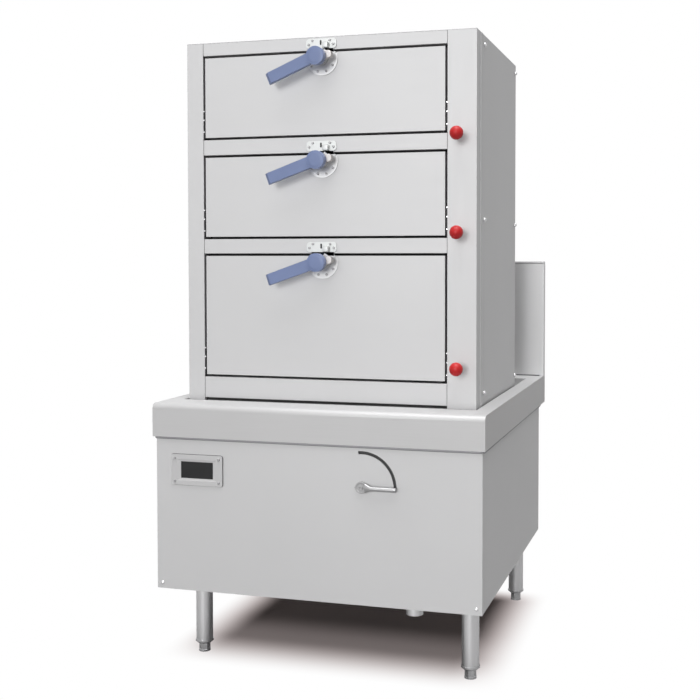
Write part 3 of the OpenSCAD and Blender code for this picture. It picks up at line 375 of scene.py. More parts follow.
# Its dark tone also makes the strips under the rim's skirts, as painted shade there
bar_and_shade_steel = steel("bar_and_shade_steel", (0.20, 0.20, 0.21), (0.32, 0.32, 0.33), 0.55, ALONG_X)
tube_steel = steel("tube_steel", (0.66, 0.66, 0.67), (0.77, 0.77, 0.78), 0.34, ALONG_Z, metallic=0.85)
socket_steel = steel("socket_steel", (0.54, 0.54, 0.55), (0.68, 0.68, 0.69), 0.32, ALONG_Z, metallic=0.85)
foot_steel = steel("foot_steel", (0.60, 0.60, 0.61), (0.74, 0.74, 0.75), 0.30, ALONG_Z, metallic=0.85)
plate_steel = steel("plate_steel", (0.58, 0.58, 0.585), (0.68, 0.68, 0.685), 0.44, ALONG_X, metallic=0.75)
keeper_steel = steel("keeper_steel", (0.60, 0.615, 0.61), (0.69, 0.705, 0.70), 0.44, ALONG_X, metallic=0.5)
hook_steel = steel("hook_steel", (0.46, 0.44, 0.43), (0.58, 0.56, 0.55), 0.50, ALONG_X)
lever_steel = steel("lever_steel", (0.36, 0.36, 0.365), (0.46, 0.46, 0.465), 0.30, ALONG_X)
disc_zinc = steel("disc_zinc", (0.36, 0.36, 0.365), (0.43, 0.43, 0.435), 0.48, ALONG_X, metallic=0.6)
dull_zinc = steel("dull_zinc", (0.30, 0.30, 0.305), (0.42, 0.42, 0.425), 0.45, ALONG_X)
bright_steel = steel("bright_steel", (0.74, 0.74, 0.75), (0.84, 0.84, 0.85), 0.26, ALONG_X, spread=0.05)
bracket_steel = steel("bracket_steel", (0.03, 0.03, 0.032), (0.06, 0.06, 0.062), 0.50, ALONG_Z)
brass = steel("brass", (0.55, 0.36, 0.12), (0.72, 0.50, 0.20), 0.30, ALONG_Y)
copper = steel("copper", (0.55, 0.24, 0.12), (0.75, 0.36, 0.20), 0.35, ALONG_X)
coated = moulded("coated_steel", (0.50, 0.51, 0.52), (0.58, 0.59, 0.60), 0.50)
bezel_plastic = moulded("bezel_plastic", (0.71, 0.71, 0.72), (0.78, 0.78, 0.79), 0.42)
display_black = moulded("display_black", (0.004, 0.004, 0.005), (0.007, 0.007, 0.008), 0.30, relief=0.0)
black_plastic = moulded("black_plastic", (0.015, 0.015, 0.016), (0.03, 0.03, 0.032), 0.45)
# Rubber for the seals, packing and gasket; its near-black is also painted shade on the toe strip and the
# strike-slot inlays
seal_rubber = moulded("seal_rubber", (0.020, 0.020, 0.020), (0.035, 0.035, 0.035), 0.75)
# Its dark grey is painted shade behind the lever's arc slot, and the colour of the backsplash's seal
shade_and_seal_grey = moulded("shade_and_seal_grey", (0.06, 0.06, 0.062), (0.10, 0.10, 0.103), 0.60)
handle_blue = moulded("handle_blue", (0.210, 0.280, 0.51), (0.250, 0.320, 0.57), 0.42, coat=0.10)
knob_red = moulded("knob_red", (0.60, 0.006, 0.009), (0.69, 0.010, 0.013), 0.46, coat=0.05, relief=0.00001)


# Finishes of the solids
def per_level(*stems):
    return [f"{stem}_{level}" for stem in stems for level in LEVELS]


FINISHES = [
    (sheet_across, ["base_front_panel", "front_rails", "cabinet_top_panel"]),
    (sheet_across, per_level("door_skin")),
    (sheet_upright, ["left_post", "right_post"]),
    (sheet_side, ["base_shell", "cabinet_side_panels", "cabinet_back_panel"]),
    (lit_rim_steel, ["top_rim"]),
    (lit_splash_steel, ["backsplash"]),
    (chamber_steel, per_level("chamber", "door_liner") + ["water_tank", "steam_riser", "steam_racks"]),
    (bar_and_shade_steel, ["base_frame", "base_floor_panel"]),
    (tube_steel, ["leg_tubes", "drain_pipe"]),
    (socket_steel, ["leg_sockets"]),
    (foot_steel, [f"foot_{end}_{side}" for end in ("front", "rear") for side in ("left", "right")]),
    (plate_steel, per_level("latch_plate", "latch_cam")),
    (keeper_steel, ["latch_keepers"]),
    (bright_steel, per_level("valve_rod") + ["panel_screws"]),
    (bracket_steel, ["hinge_brackets"]),
    (brass, ["water_feed", "steam_valves"]),
    (copper, ["induction_coil"]),
    (coated, ["inverter_box"]),
    (bezel_plastic, ["control_bezel"]),
    (display_black, ["display_unit"]),
    (black_plastic, ["gear_switch", "cable_gland", "fan_rotor"]),
    (seal_rubber, ["door_seals"]),
    (handle_blue, per_level("latch_handle")),
    (knob_red, per_level("ball_knob")),
]


def finish_nodes():
    for material, names in FINISHES:
        for name in names:
            for slot in nodes[name].material_slots:
                slot.material = material


finish_nodes()


# Bend radii on the folded sheets
FOLDS = [
    (0.0020, ["top_rim"]),
    (0.0009, ["front_rails", "cabinet_top_panel"] + per_level("door_skin")),
]
FOLD_JOIN = 0.00002
FOLD_ANGLE = math.radians(50)


def round_folds():
    for radius, names in FOLDS:
        for name in names:
            weld = nodes[name].modifiers.new("join", "WELD")
            weld.merge_threshold = FOLD_JOIN
            fold = nodes[name].modifiers.new("fold", "BEVEL")
            fold.width = radius
            fold.segments = 2
            fold.limit_method = "ANGLE"
            fold.angle_limit = FOLD_ANGLE
            fold.harden_normals = True


round_folds()


# Modelling helpers
TOUCH = 0.0002
FACING = 0.9
SHARP = math.radians(35)
STEEP = math.radians(60)
LYING = {"X": (0, math.pi / 2, 0), "Y": (math.pi / 2, 0, 0)}
SIDES = {-1: "left", 1: "right"}


def add_start(kind, name, **values):
    """A primitive to shape, alone in the selection, with its place, turn and size in its mesh."""
    bpy.ops.object.select_all(action="DESELECT")
    getattr(bpy.ops.mesh, f"primitive_{kind}_add")(**values)
    piece = bpy.context.object
    piece.name = name
    bpy.ops.object.transform_apply(location=True, rotation=True, scale=True)
    return piece


def add_block(name, low, high):
    """A block between two corners."""
    low, high = Vector(low), Vector(high)
    return add_start("cube", name, size=1, location=(low + high) / 2, scale=high - low)


def add_round(name, sides, radius, depth, centre=(0, 0, 0), axis="Y"):
    """A cylinder along an axis."""
    return add_start(
        "cylinder",
        name,
        vertices=sides,
        radius=radius,
        depth=depth,
        location=centre,
        rotation=LYING[axis],
    )


def clear_picks(piece, mode):
    bpy.ops.object.mode_set(mode="OBJECT")
    bpy.context.tool_settings.mesh_select_mode = [mode == kind for kind in ("VERTEX", "EDGE", "FACE")]
    for part in (*piece.data.vertices, *piece.data.edges, *piece.data.polygons):
        part.select = False


def pick_faces(piece, wanted):
    """In edit mode, selects just the faces whose centre and normal pass a test."""
    clear_picks(piece, "FACE")
    for face in piece.data.polygons:
        face.select = wanted(face.center, face.normal)
    bpy.ops.object.mode_set(mode="EDIT")


def pick_edges(piece, wanted):
    """In edit mode, selects just the edges whose two ends pass a test."""
    clear_picks(piece, "EDGE")
    corners = piece.data.vertices
    for edge in piece.data.edges:
        edge.select = wanted(*(corners[end].co for end in edge.vertices))
    bpy.ops.object.mode_set(mode="EDIT")


def pick_corners(piece, wanted):
    """In edit mode, selects just the corners whose place passes a test."""
    clear_picks(piece, "VERTEX")
    for corner in piece.data.vertices:
        corner.select = wanted(corner.co)
    bpy.ops.object.mode_set(mode="EDIT")


def faces_front(centre, normal):
    return normal.y < -FACING


def faces_rear(centre, normal):
    return normal.y > FACING


def faces_either(centre, normal):
    return abs(normal.y) > FACING


def extrude(step):
    bpy.ops.mesh.extrude_region_move(TRANSFORM_OT_translate={"value": step})


def cut(place, normal, **kept):
    """Cuts the piece in hand along a plane."""
    bpy.ops.object.mode_set(mode="EDIT")
    bpy.ops.mesh.select_all(action="SELECT")
    bpy.ops.mesh.bisect(plane_co=place, plane_no=normal, **kept)


def soften(piece, width, segments=3, angle=SHARP, smooth=SHARP):
    """Rounds a piece's sharp edges and shades the rest smooth."""
    bpy.ops.object.mode_set(mode="OBJECT")
    rounding = piece.modifiers.new("rounding", "BEVEL")
    rounding.width = width
    rounding.segments = segments
    rounding.limit_method = "ANGLE"
    rounding.angle_limit = angle
    bpy.ops.object.modifier_apply(modifier=rounding.name)
    bpy.ops.object.shade_smooth_by_angle(angle=smooth)
    flatness = piece.modifiers.new("flatness", "WEIGHTED_NORMAL")
    flatness.keep_sharp = True
    bpy.ops.object.modifier_apply(modifier=flatness.name)


def settle(piece, body, material):
    """Gives a finished piece its material, and the body that it moves with."""
    bpy.ops.object.mode_set(mode="OBJECT")
    piece.data.materials.clear()
    piece.data.materials.append(material)
    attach(piece, body)


def rounded_block(name, low, high, corner):
    """A block whose edges along Y are rounded."""
    block = add_block(name, low, high)
    pick_edges(block, lambda first, last: abs(first.y - last.y) > TOUCH)
    bpy.ops.mesh.bevel(offset=corner, segments=6, affect="EDGES")
    return block


def trim_strip(name, low, high, width):
    """A straight strip between two corners, its edges rounded."""
    strip = add_block(name, low, high)
    soften(strip, width, segments=2)
    return strip


def set_place(piece, place, turn=0.0):
    """Turns a piece about Y and moves it, within its mesh."""
    piece.rotation_euler.y = turn
    piece.location = place
    bpy.ops.object.transform_apply(location=True, rotation=True, scale=False)


def copy_form(form, name, place, turn=0.0):
    """A copy of a form with its own mesh, turned and in its place."""
    bpy.ops.object.select_all(action="DESELECT")
    form.select_set(True)
    bpy.context.view_layer.objects.active = form
    bpy.ops.object.duplicate(linked=False)
    copy = bpy.context.object
    copy.name = name
    set_place(copy, place, turn)
    return copy


def join_pieces(name, pieces):
    bpy.ops.object.select_all(action="DESELECT")
    for piece in pieces:
        piece.select_set(True)
    bpy.context.view_layer.objects.active = pieces[0]
    bpy.ops.object.join()
    pieces[0].name = name
    return pieces[0]


def joint_place(name):
    return Vector(next(joint["pos_m"] for joint in frame["joints"] if joint["name"] == name))


# Latch handles: a round hub with a raised cap, and an arm that widens to a slanted tip
HUB_SIDES = 48
HUB_R = 0.024
CAP_EDGE = 0.006
CAP_SLOPE = 0.003
CAP_RISE = 0.0015
HANDLE_LENGTH = 0.145
HANDLE_DROOP = {"bottom": 19.0, "middle": 19.5, "top": 22.5}
ARM_PICK = 0.0165
ARM_SET_BACK = 0.0025
ARM_SPREAD = 0.98
TIP_LENGTH = 0.008
TIP_SLANT = 0.007
HANDLE_ROUND = 0.0015
ARM_ROUND = 0.0022
ARM_EDGE = 0.013


def add_handle_form(thickness):
    """One handle about its pivot, pointing left, its front towards -Y."""
    form = add_round("handle_form", HUB_SIDES, HUB_R, thickness)
    tip_start = TIP_LENGTH - HANDLE_LENGTH
    pick_faces(
        form,
        lambda centre, normal: centre.x < 0
        and not faces_either(centre, normal)
        and abs(centre.z) < ARM_PICK,
    )
    bpy.ops.mesh.inset(thickness=ARM_SET_BACK)
    extrude((tip_start + HUB_R, 0, 0))
    bpy.ops.transform.resize(value=(0, 1, ARM_SPREAD), center_override=(tip_start, 0, 0))
    extrude((-TIP_LENGTH, 0, 0))
    pick_corners(form, lambda place: place.x < TOUCH - HANDLE_LENGTH and place.y < 0)
    bpy.ops.transform.translate(value=(0, TIP_SLANT, 0))
    pick_edges(
        form,
        lambda first, last: abs(first.x - last.x) > HUB_R
        and min(abs(first.z), abs(last.z)) > ARM_EDGE
        and max(first.y, last.y) < 0,
    )
    bpy.ops.mesh.bevel(offset=ARM_ROUND, segments=4, affect="EDGES")
    pick_faces(form, lambda centre, normal: centre.x > -HUB_R / 2 and faces_front(centre, normal))
    bpy.ops.mesh.inset(thickness=CAP_EDGE)
    bpy.ops.mesh.inset(thickness=CAP_SLOPE, depth=CAP_RISE)
    soften(form, HANDLE_ROUND)
    return form


def add_handles():
    low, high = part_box("latch_handle_bottom")
    form = add_handle_form(high[1] - low[1])
    for level in LEVELS:
        pivot = joint_place(f"latch_{level}_turn")
        place = (pivot.x, (low[1] + high[1]) / 2, pivot.z)
        handle = copy_form(form, f"lever_handle_{level}", place, -math.radians(HANDLE_DROOP[level]))
        settle(handle, f"latch_{level}", handle_blue)
        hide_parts(f"latch_handle_{level}")
    bpy.data.objects.remove(form)


add_handles()


# Latch plates: a round plate with a dished rim, cut off at the door's top edge
PLATE_SIDES = 96
PLATE_T = 0.003
PLATE_RIM = 0.0016
PLATE_FLAT = 0.0045
PLATE_DISH = 0.0005


def add_latch_plate(level):
    node = f"latch_plate_{level}"
    low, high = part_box(node)
    pivot = joint_place(f"latch_{level}_turn")
    centre = (pivot.x, high[1] - PLATE_T / 2, pivot.z)
    plate = add_round(f"latch_rose_{level}", PLATE_SIDES, (high[0] - low[0]) / 2, PLATE_T, centre)
    cut((0, 0, high[2]), (0, 0, 1), use_fill=True, clear_outer=True)
    pick_faces(plate, faces_front)
    bpy.ops.mesh.inset(thickness=PLATE_FLAT)
    bpy.ops.mesh.inset(thickness=PLATE_DISH, depth=-PLATE_DISH)
    soften(plate, PLATE_RIM, angle=STEEP)
    settle(plate, f"door_{level}", plate_steel)
    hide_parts(node)


# Slotted screws: a low dome with a slot across it
SCREW_SIDES = 20
SCREW_R = 0.0034
SCREW_RISE = 0.0016
SCREW_SLOPE_SHARE = 0.3
SCREW_CROWN = 0.0010
SCREW_SLOT = 0.0012
SCREW_SLOT_DEPTH = 0.0006
SLOT_TURN_PER_M = 90
PLATE_SCREW_IN = 0.009
PLATE_SCREW_ANGLES = (-150, -110, -70, -30)


def add_screw(place, slot_turn, radius=SCREW_R):
    """A screw head on a face that looks towards -Y, its slot turned from level."""
    screw = add_round("screw_head", SCREW_SIDES, radius, SCREW_RISE, (0, -SCREW_RISE / 2, 0))
    pick_faces(screw, faces_front)
    bpy.ops.mesh.inset(thickness=radius * SCREW_SLOPE_SHARE)
    bpy.ops.transform.translate(value=(0, -SCREW_CROWN, 0))
    for side in SIDES:
        cut((0, 0, side * SCREW_SLOT / 2), (0, 0, 1))
    pick_faces(
        screw, lambda centre, normal: faces_front(centre, normal) and abs(centre.z) < SCREW_SLOT / 2
    )
    extrude((0, SCREW_SLOT_DEPTH, 0))
    bpy.ops.object.mode_set(mode="OBJECT")
    bpy.ops.object.shade_smooth_by_angle(angle=SHARP)
    set_place(screw, place, slot_turn)
    return screw


def add_latch_screws(level):
    low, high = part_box(f"latch_plate_{level}")
    pivot = joint_place(f"latch_{level}_turn")
    ring = (high[0] - low[0]) / 2 - PLATE_SCREW_IN
    face = high[1] - PLATE_T + PLATE_DISH
    heads = []
    for angle in PLATE_SCREW_ANGLES:
        turn = math.radians(angle)
        place = (pivot.x + ring * math.cos(turn), face, pivot.z + ring * math.sin(turn))
        heads.append(add_screw(place, turn))
    screws = join_pieces(f"latch_rose_screws_{level}", heads)
    settle(screws, f"door_{level}", dull_zinc)


# Keepers on the rails above the doors: a plate with rounded ends, a catch, screws, and a dark inlay that is
# painted shade for a strike slot
KEEPER_UP = 0.027
KEEPER_H = 0.027
KEEPER_CORNER = 0.009
KEEPER_EDGE = 0.0009
# Each screw's distance from the plate's middle, and its height as a share of the plate's
KEEPER_SCREWS = ((-0.034, 0.42), (-0.024, 0.80), (0.024, 0.80), (0.034, 0.42))
CATCH_IN = 0.004
CATCH_SIZE = 0.016
CATCH_ROUND = 0.003
STRIKE_UP = 0.043
STRIKE_SIZE = (0.0046, 0.0006, 0.013)
STRIKE_IN = -0.0035
STRIKE_ROUND_SHARE = 0.9


def add_keepers():
    low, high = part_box("latch_keepers")
    face = high[1] - PLATE_T
    plates = []
    for level in LEVELS:
        pivot = joint_place(f"latch_{level}_turn")
        bottom = pivot.z + KEEPER_UP
        plate_end = (high[0], high[1], bottom + KEEPER_H)
        plate = rounded_block("keeper", (low[0], face, bottom), plate_end, KEEPER_CORNER)
        soften(plate, KEEPER_EDGE, segments=2)
        catch_start = Vector((pivot.x + CATCH_IN, low[1], bottom))
        catch_end = (catch_start.x + CATCH_SIZE, face, bottom + CATCH_SIZE)
        plates += [plate, trim_strip("catch", catch_start, catch_end, CATCH_ROUND)]
    keepers = join_pieces("keeper_plates", plates)
    settle(keepers, "cabinet", keeper_steel)
    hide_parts("latch_keepers")


def add_keeper_details(level):
    low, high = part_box("latch_keepers")
    pivot = joint_place(f"latch_{level}_turn")
    face = high[1] - PLATE_T
    middle = (low[0] + high[0]) / 2
    bottom = pivot.z + KEEPER_UP
    heads = [
        add_screw((middle + across, face, bottom + share * KEEPER_H), across * SLOT_TURN_PER_M)
        for across, share in KEEPER_SCREWS
    ]
    screws = join_pieces(f"keeper_screws_{level}", heads)
    settle(screws, "cabinet", dull_zinc)
    # A thin dark inlay on the keeper's face: painted shade standing in for a strike slot
    half = Vector(STRIKE_SIZE) / 2
    centre = Vector((pivot.x + STRIKE_IN, face - half.y, pivot.z + STRIKE_UP))
    corner = half.x * STRIKE_ROUND_SHARE
    strike_shade = rounded_block(f"strike_slot_shade_{level}", centre - half, centre + half, corner)
    soften(strike_shade, half.y / 2, segments=2)
    settle(strike_shade, "cabinet", seal_rubber)


# Latch hooks: a bar behind each hub whose round nose lies under the catch, with a tooth at its tip
HOOK_W = 0.021
HOOK_TIP_W = 0.85
HOOK_REACH = 0.038
HOOK_LEAN = math.radians(78)
HOOK_BEHIND = (0.004, 0.016)
HOOK_TOOTH_UP = 0.026
HOOK_TOOTH = 0.006
HOOK_NOSE = 0.0070
HOOK_ROUND = 0.0016


def add_hook(level):
    pivot = joint_place(f"latch_{level}_turn")
    handle_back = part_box(f"latch_handle_{level}")[1][1]
    front, back = (handle_back + step for step in HOOK_BEHIND)
    hook = add_block(f"latch_hook_{level}", (-HOOK_W / 2, front, 0), (HOOK_W / 2, back, HOOK_REACH))
    cut((0, 0, HOOK_TOOTH_UP), (0, 0, 1))
    pick_faces(hook, lambda centre, normal: faces_rear(centre, normal) and centre.z > HOOK_TOOTH_UP)
    extrude((0, HOOK_TOOTH, 0))
    pick_corners(hook, lambda place: place.z > HOOK_REACH - TOUCH)
    bpy.ops.transform.resize(value=(HOOK_TIP_W, 1, 1), center_override=(0, 0, HOOK_REACH))
    pick_edges(
        hook,
        lambda first, last: abs(first.y - last.y) > TOUCH and min(first.z, last.z) > HOOK_REACH - TOUCH,
    )
    bpy.ops.mesh.bevel(offset=HOOK_NOSE, segments=5, affect="EDGES")
    soften(hook, HOOK_ROUND)
    set_place(hook, (pivot.x, 0, pivot.z), HOOK_LEAN)
    settle(hook, f"latch_{level}", hook_steel)


# Rivets on the hinge brackets' front edges, which show in the side gaps
RIVET_R = 0.0024
RIVET_UPS = (0.016, 0.048, 0.072)
RIVET_OUT = 0.005
RIVET_BEHIND = 0.0022


def add_rivets(level):
    low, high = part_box(f"door_skin_{level}")
    heads = [
        add_screw((x, low[1] + RIVET_BEHIND, low[2] + up), up * SLOT_TURN_PER_M, RIVET_R)
        for x in (low[0] - RIVET_OUT, high[0] + RIVET_OUT)
        for up in RIVET_UPS
    ]
    rivets = join_pieces(f"hinge_rivets_{level}", heads)
    settle(rivets, "cabinet", bright_steel)


add_keepers()
for level in LEVELS:
    add_latch_plate(level)
    add_latch_screws(level)
    add_keeper_details(level)
    add_hook(level)
    add_rivets(level)


# Display bezel on a gasket: a flat rim with screws, a step, and a slanted band down to the window
BEZEL_CORNER = 0.0055
BEZEL_INSET = 0.004
BAND_W = 0.009
BAND_H = 0.0055
BAND_STEP = 0.0006
WINDOW_SET_BACK = 0.0006
WINDOW_PLAY = 0.0003
BEZEL_ROUND = 0.0005
BEZEL_SMOOTH = math.radians(12)
GASKET_W = 0.001
GASKET_T = 0.0015
GASKET_ROUND = GASKET_T / 4
BEZEL_SCREW_IN = 0.010


def resize_to(face_w, face_h, w, h, centre):
    bpy.ops.transform.resize(value=(w / face_w, 1, h / face_h), center_override=centre)


def open_window(block, middle):
    """Bridges the front face and the back face that lie around the middle."""
    pick_faces(
        block,
        lambda centre, normal: faces_either(centre, normal)
        and abs(centre.x - middle.x) < TOUCH
        and abs(centre.z - middle.z) < TOUCH,
    )
    bpy.ops.mesh.bridge_edge_loops()


def add_bezel():
    low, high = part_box("control_bezel")
    glass_low, glass_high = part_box("display_unit")
    middle = (Vector(low) + Vector(high)) / 2
    bezel_w, bezel_h = high[0] - low[0], high[2] - low[2]
    inner_w, inner_h = bezel_w - 2 * BEZEL_INSET, bezel_h - 2 * BEZEL_INSET
    window_w = glass_high[0] - glass_low[0] + 2 * WINDOW_PLAY
    window_h = glass_high[2] - glass_low[2] + 2 * WINDOW_PLAY
    band_w, band_h = window_w + 2 * BAND_W, window_h + 2 * BAND_H
    bezel = rounded_block("bezel_frame", low, high, BEZEL_CORNER)
    pick_faces(bezel, faces_front)
    bpy.ops.mesh.inset(thickness=BEZEL_INSET)
    resize_to(inner_w, inner_h, band_w, band_h, middle)
    bpy.ops.mesh.inset(thickness=BAND_STEP, depth=-BAND_STEP)
    bpy.ops.mesh.inset(thickness=BAND_STEP)
    resize_to(band_w - 4 * BAND_STEP, band_h - 4 * BAND_STEP, window_w, window_h, middle)
    bpy.ops.transform.translate(value=(0, WINDOW_SET_BACK, 0))
    pick_faces(bezel, faces_rear)
    bpy.ops.mesh.inset(thickness=BEZEL_INSET)
    resize_to(inner_w, inner_h, window_w, window_h, middle)
    open_window(bezel, middle)
    soften(bezel, BEZEL_ROUND, segments=2, smooth=BEZEL_SMOOTH)
    settle(bezel, "cabinet", bezel_plastic)
    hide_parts("control_bezel")


def add_gasket():
    low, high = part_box("control_bezel")
    middle = (Vector(low) + Vector(high)) / 2
    gasket_low = (low[0] - GASKET_W, high[1] - GASKET_T, low[2] - GASKET_W)
    gasket_high = (high[0] + GASKET_W, high[1], high[2] + GASKET_W)
    gasket = rounded_block("bezel_gasket", gasket_low, gasket_high, BEZEL_CORNER + GASKET_W)
    pick_faces(gasket, faces_either)
    bpy.ops.mesh.inset(thickness=2 * GASKET_W, use_individual=True)
    open_window(gasket, middle)
    soften(gasket, GASKET_ROUND, segments=2)
    settle(gasket, "cabinet", seal_rubber)


def add_bezel_screws():
    low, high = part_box("control_bezel")
    heads = [
        add_screw((x, low[1], z), x * SLOT_TURN_PER_M)
        for x in (low[0] + BEZEL_SCREW_IN, high[0] - BEZEL_SCREW_IN)
        for z in (low[2] + BEZEL_SCREW_IN, high[2] - BEZEL_SCREW_IN)
    ]
    screws = join_pieces("bezel_screws", heads)
    settle(screws, "cabinet", dull_zinc)


add_bezel()
add_gasket()
add_bezel_screws()


# Gear lever: a stepped disc with a socket screw, a flared rod arm, and a dark ring behind the arc slot as
# painted shade
DISC_SIDES = 48
DISC_R = 0.015
DISC_T = 0.007
DISC_RIM = 0.003
DISC_STEP = 0.0008
DISC_ROUND = 0.00048
BOSS_R = 0.0055
BOSS_RISE = 0.004
SOCKET_R = 0.0026
SOCKET_DEPTH = 0.002
ROD_SIDES = 24
ROD_R = 0.006
ROD_ROUND = 0.0015
ROD_EDGE_SHARE = 0.2
ROD_START = 0.028
ROD_END = 0.094
# Each step of the arm's neck: its length, and how much it widens
NECK_STEPS = ((0.008, 1.5), (0.009, 1.45))
NECK_BACK = 0.002
PIN_AT = 0.088
PIN_R = 0.003
PIN_END = 0.005
SHAFT_R = 0.005
SHAFT_END = 0.030
NUB_R = 0.002
NUB_L = 0.005
SLOT_SHADE_SIDES = 96
SLOT_SHADE_R = (0.074, 0.101)
SLOT_SHADE_BEHIND = 0.006
SLOT_SHADE_T = 0.001
SLOT_SHADE_ROUND = 0.0003
SLOT_SHADE_MARGIN = 0.012


def turned_rod(name, start, end, radius):
    """A rod between two points, with its end edges broken."""
    start, end = Vector(start), Vector(end)
    rod = add_start(
        "cylinder",
        name,
        vertices=ROD_SIDES,
        radius=radius,
        depth=(end - start).length,
        location=(start + end) / 2,
        rotation=(end - start).to_track_quat("Z", "Y").to_euler(),
    )
    soften(rod, radius * ROD_EDGE_SHARE, segments=2)
    return rod


def add_lever_disc(pivot, front, panel):
    middle = front + DISC_T / 2
    disc = add_round("lever_disc", DISC_SIDES, DISC_R, DISC_T, (pivot.x, middle, pivot.z))
    pick_faces(disc, faces_front)
    bpy.ops.mesh.inset(thickness=DISC_RIM)
    bpy.ops.mesh.inset(thickness=DISC_STEP, depth=-DISC_STEP)
    bpy.ops.mesh.inset(thickness=DISC_R - DISC_RIM - DISC_STEP - BOSS_R)
    extrude((0, -BOSS_RISE, 0))
    bpy.ops.mesh.inset(thickness=BOSS_R - SOCKET_R)
    extrude((0, SOCKET_DEPTH, 0))
    soften(disc, DISC_ROUND)
    edge = pivot.x - DISC_R
    nub_ends = [(x, middle, pivot.z) for x in (edge - NUB_L / 2, edge + NUB_L)]
    nub = turned_rod("nub", *nub_ends, NUB_R)
    shaft_ends = [(pivot.x, y, pivot.z) for y in (middle, panel + SHAFT_END)]
    shaft = turned_rod("shaft", *shaft_ends, SHAFT_R)
    disc = join_pieces("lever_disc", [disc, nub, shaft])
    settle(disc, "gear_lever", disc_zinc)
    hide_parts("gear_lever")


def add_lever_arm(pivot, axis_y, panel):
    centre = (pivot.x + (ROD_START + ROD_END) / 2, axis_y, pivot.z)
    arm = add_round("lever_arm", ROD_SIDES, ROD_R, ROD_END - ROD_START, centre, "X")
    pick_faces(arm, lambda centre, normal: normal.x < -FACING)
    inner = pivot.x + ROD_START
    for step, flare in NECK_STEPS:
        inner -= step
        extrude((-step, NECK_BACK, 0))
        bpy.ops.transform.resize(value=(1, 1, flare), center_override=(inner, axis_y, pivot.z))
    soften(arm, ROD_ROUND)
    pin_x = pivot.x + PIN_AT
    pin = turned_rod("pin", (pin_x, axis_y, pivot.z), (pin_x, panel + PIN_END, pivot.z), PIN_R)
    arm = join_pieces("lever_arm", [arm, pin])
    settle(arm, "gear_lever", lever_steel)


def add_slot_shade_ring(pivot, panel):
    """A dark quarter ring behind the arc slot, painted shade seen through the slot."""
    inner, outer = SLOT_SHADE_R
    centre = (pivot.x, panel + SLOT_SHADE_BEHIND + SLOT_SHADE_T / 2, pivot.z)
    shade_ring = add_round("slot_shade_ring", SLOT_SHADE_SIDES, outer, SLOT_SHADE_T, centre)
    pick_faces(shade_ring, faces_either)
    bpy.ops.mesh.inset(thickness=outer - inner, use_individual=True)
    open_window(shade_ring, pivot)
    for normal in ((1, 0, 0), (0, 0, 1)):
        cut(pivot - Vector(normal) * SLOT_SHADE_MARGIN, normal, use_fill=True, clear_inner=True)
    soften(shade_ring, SLOT_SHADE_ROUND, segments=2)
    settle(shade_ring, "cabinet", shade_and_seal_grey)


def add_lever():
    pivot = joint_place("gear_lever_swing")
    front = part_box("gear_lever")[0][1]
    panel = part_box("base_front_panel")[0][1]
    add_lever_disc(pivot, front + 2 * ROD_R, panel)
    add_lever_arm(pivot, front + ROD_R, panel)
    add_slot_shade_ring(pivot, panel)


add_lever()


# Cabinet sides: a folded bead behind each post's return, and dome nuts over the side screws
BEAD_BEHIND = (0.046, 0.068)
BEAD_RISE = 0.0026
BEAD_ROUND = 0.0024
BEAD_EDGE = 0.00026
NUT_SIDES = 24
NUT_R = 0.0056
NUT_H = 0.0032
# Each ring of the nut's dome: how much it narrows, and its rise
NUT_CROWN = ((0.0012, 0.0022), (0.0016, 0.0013))
NUT_ROUND = 0.000672
NUT_END = 0.026
NUT_FRONT_IN = 0.012
NUT_REAR_IN = 0.014
RAIL_GAP = 0.005


def rails_start():
    """Height at which the front rails start, just above the rim."""
    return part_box("top_rim")[1][2] + RAIL_GAP


def add_side_bead(side, low, high, face):
    x = high[0] * side
    start, end = (face + step for step in BEAD_BEHIND)
    bead_low = (x - BEAD_RISE, start, low[2])
    bead = add_block(f"side_bead_{SIDES[side]}", bead_low, (x + BEAD_RISE, end, high[2]))
    pick_edges(
        bead,
        lambda first, last: abs(first.z - last.z) > TOUCH and (first.x - x) * side > 0,
    )
    bpy.ops.mesh.bevel(offset=BEAD_ROUND, segments=5, affect="EDGES")
    soften(bead, BEAD_EDGE, segments=1)
    settle(bead, "cabinet", sheet_upright)


def add_nut(place, side):
    """A dome nut on a side panel."""
    centre = Vector(place) + Vector((side * NUT_H / 2, 0, 0))
    nut = add_round("dome_nut", NUT_SIDES, NUT_R, NUT_H, centre, "X")
    pick_faces(nut, lambda centre, normal: normal.x * side > FACING)
    for narrow, rise in NUT_CROWN:
        bpy.ops.mesh.inset(thickness=narrow)
        bpy.ops.transform.translate(value=(side * rise, 0, 0))
    soften(nut, NUT_ROUND, segments=2)
    return nut


def add_cabinet_sides():
    low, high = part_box("cabinet_side_panels")
    post_low, post_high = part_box("left_post")
    bottom = rails_start()
    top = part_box("cabinet_top_panel")[1][2]
    heights = (bottom + NUT_END, (bottom + top) / 2, top - NUT_END)
    for side in SIDES:
        add_side_bead(side, low, high, post_low[1])
        nuts = [
            add_nut((high[0] * side, y, z), side)
            for y in (post_high[1] - NUT_FRONT_IN, high[1] - NUT_REAR_IN)
            for z in heights
        ]
        group = join_pieces(f"side_nuts_{SIDES[side]}", nuts)
        settle(group, "cabinet", bright_steel)


add_cabinet_sides()


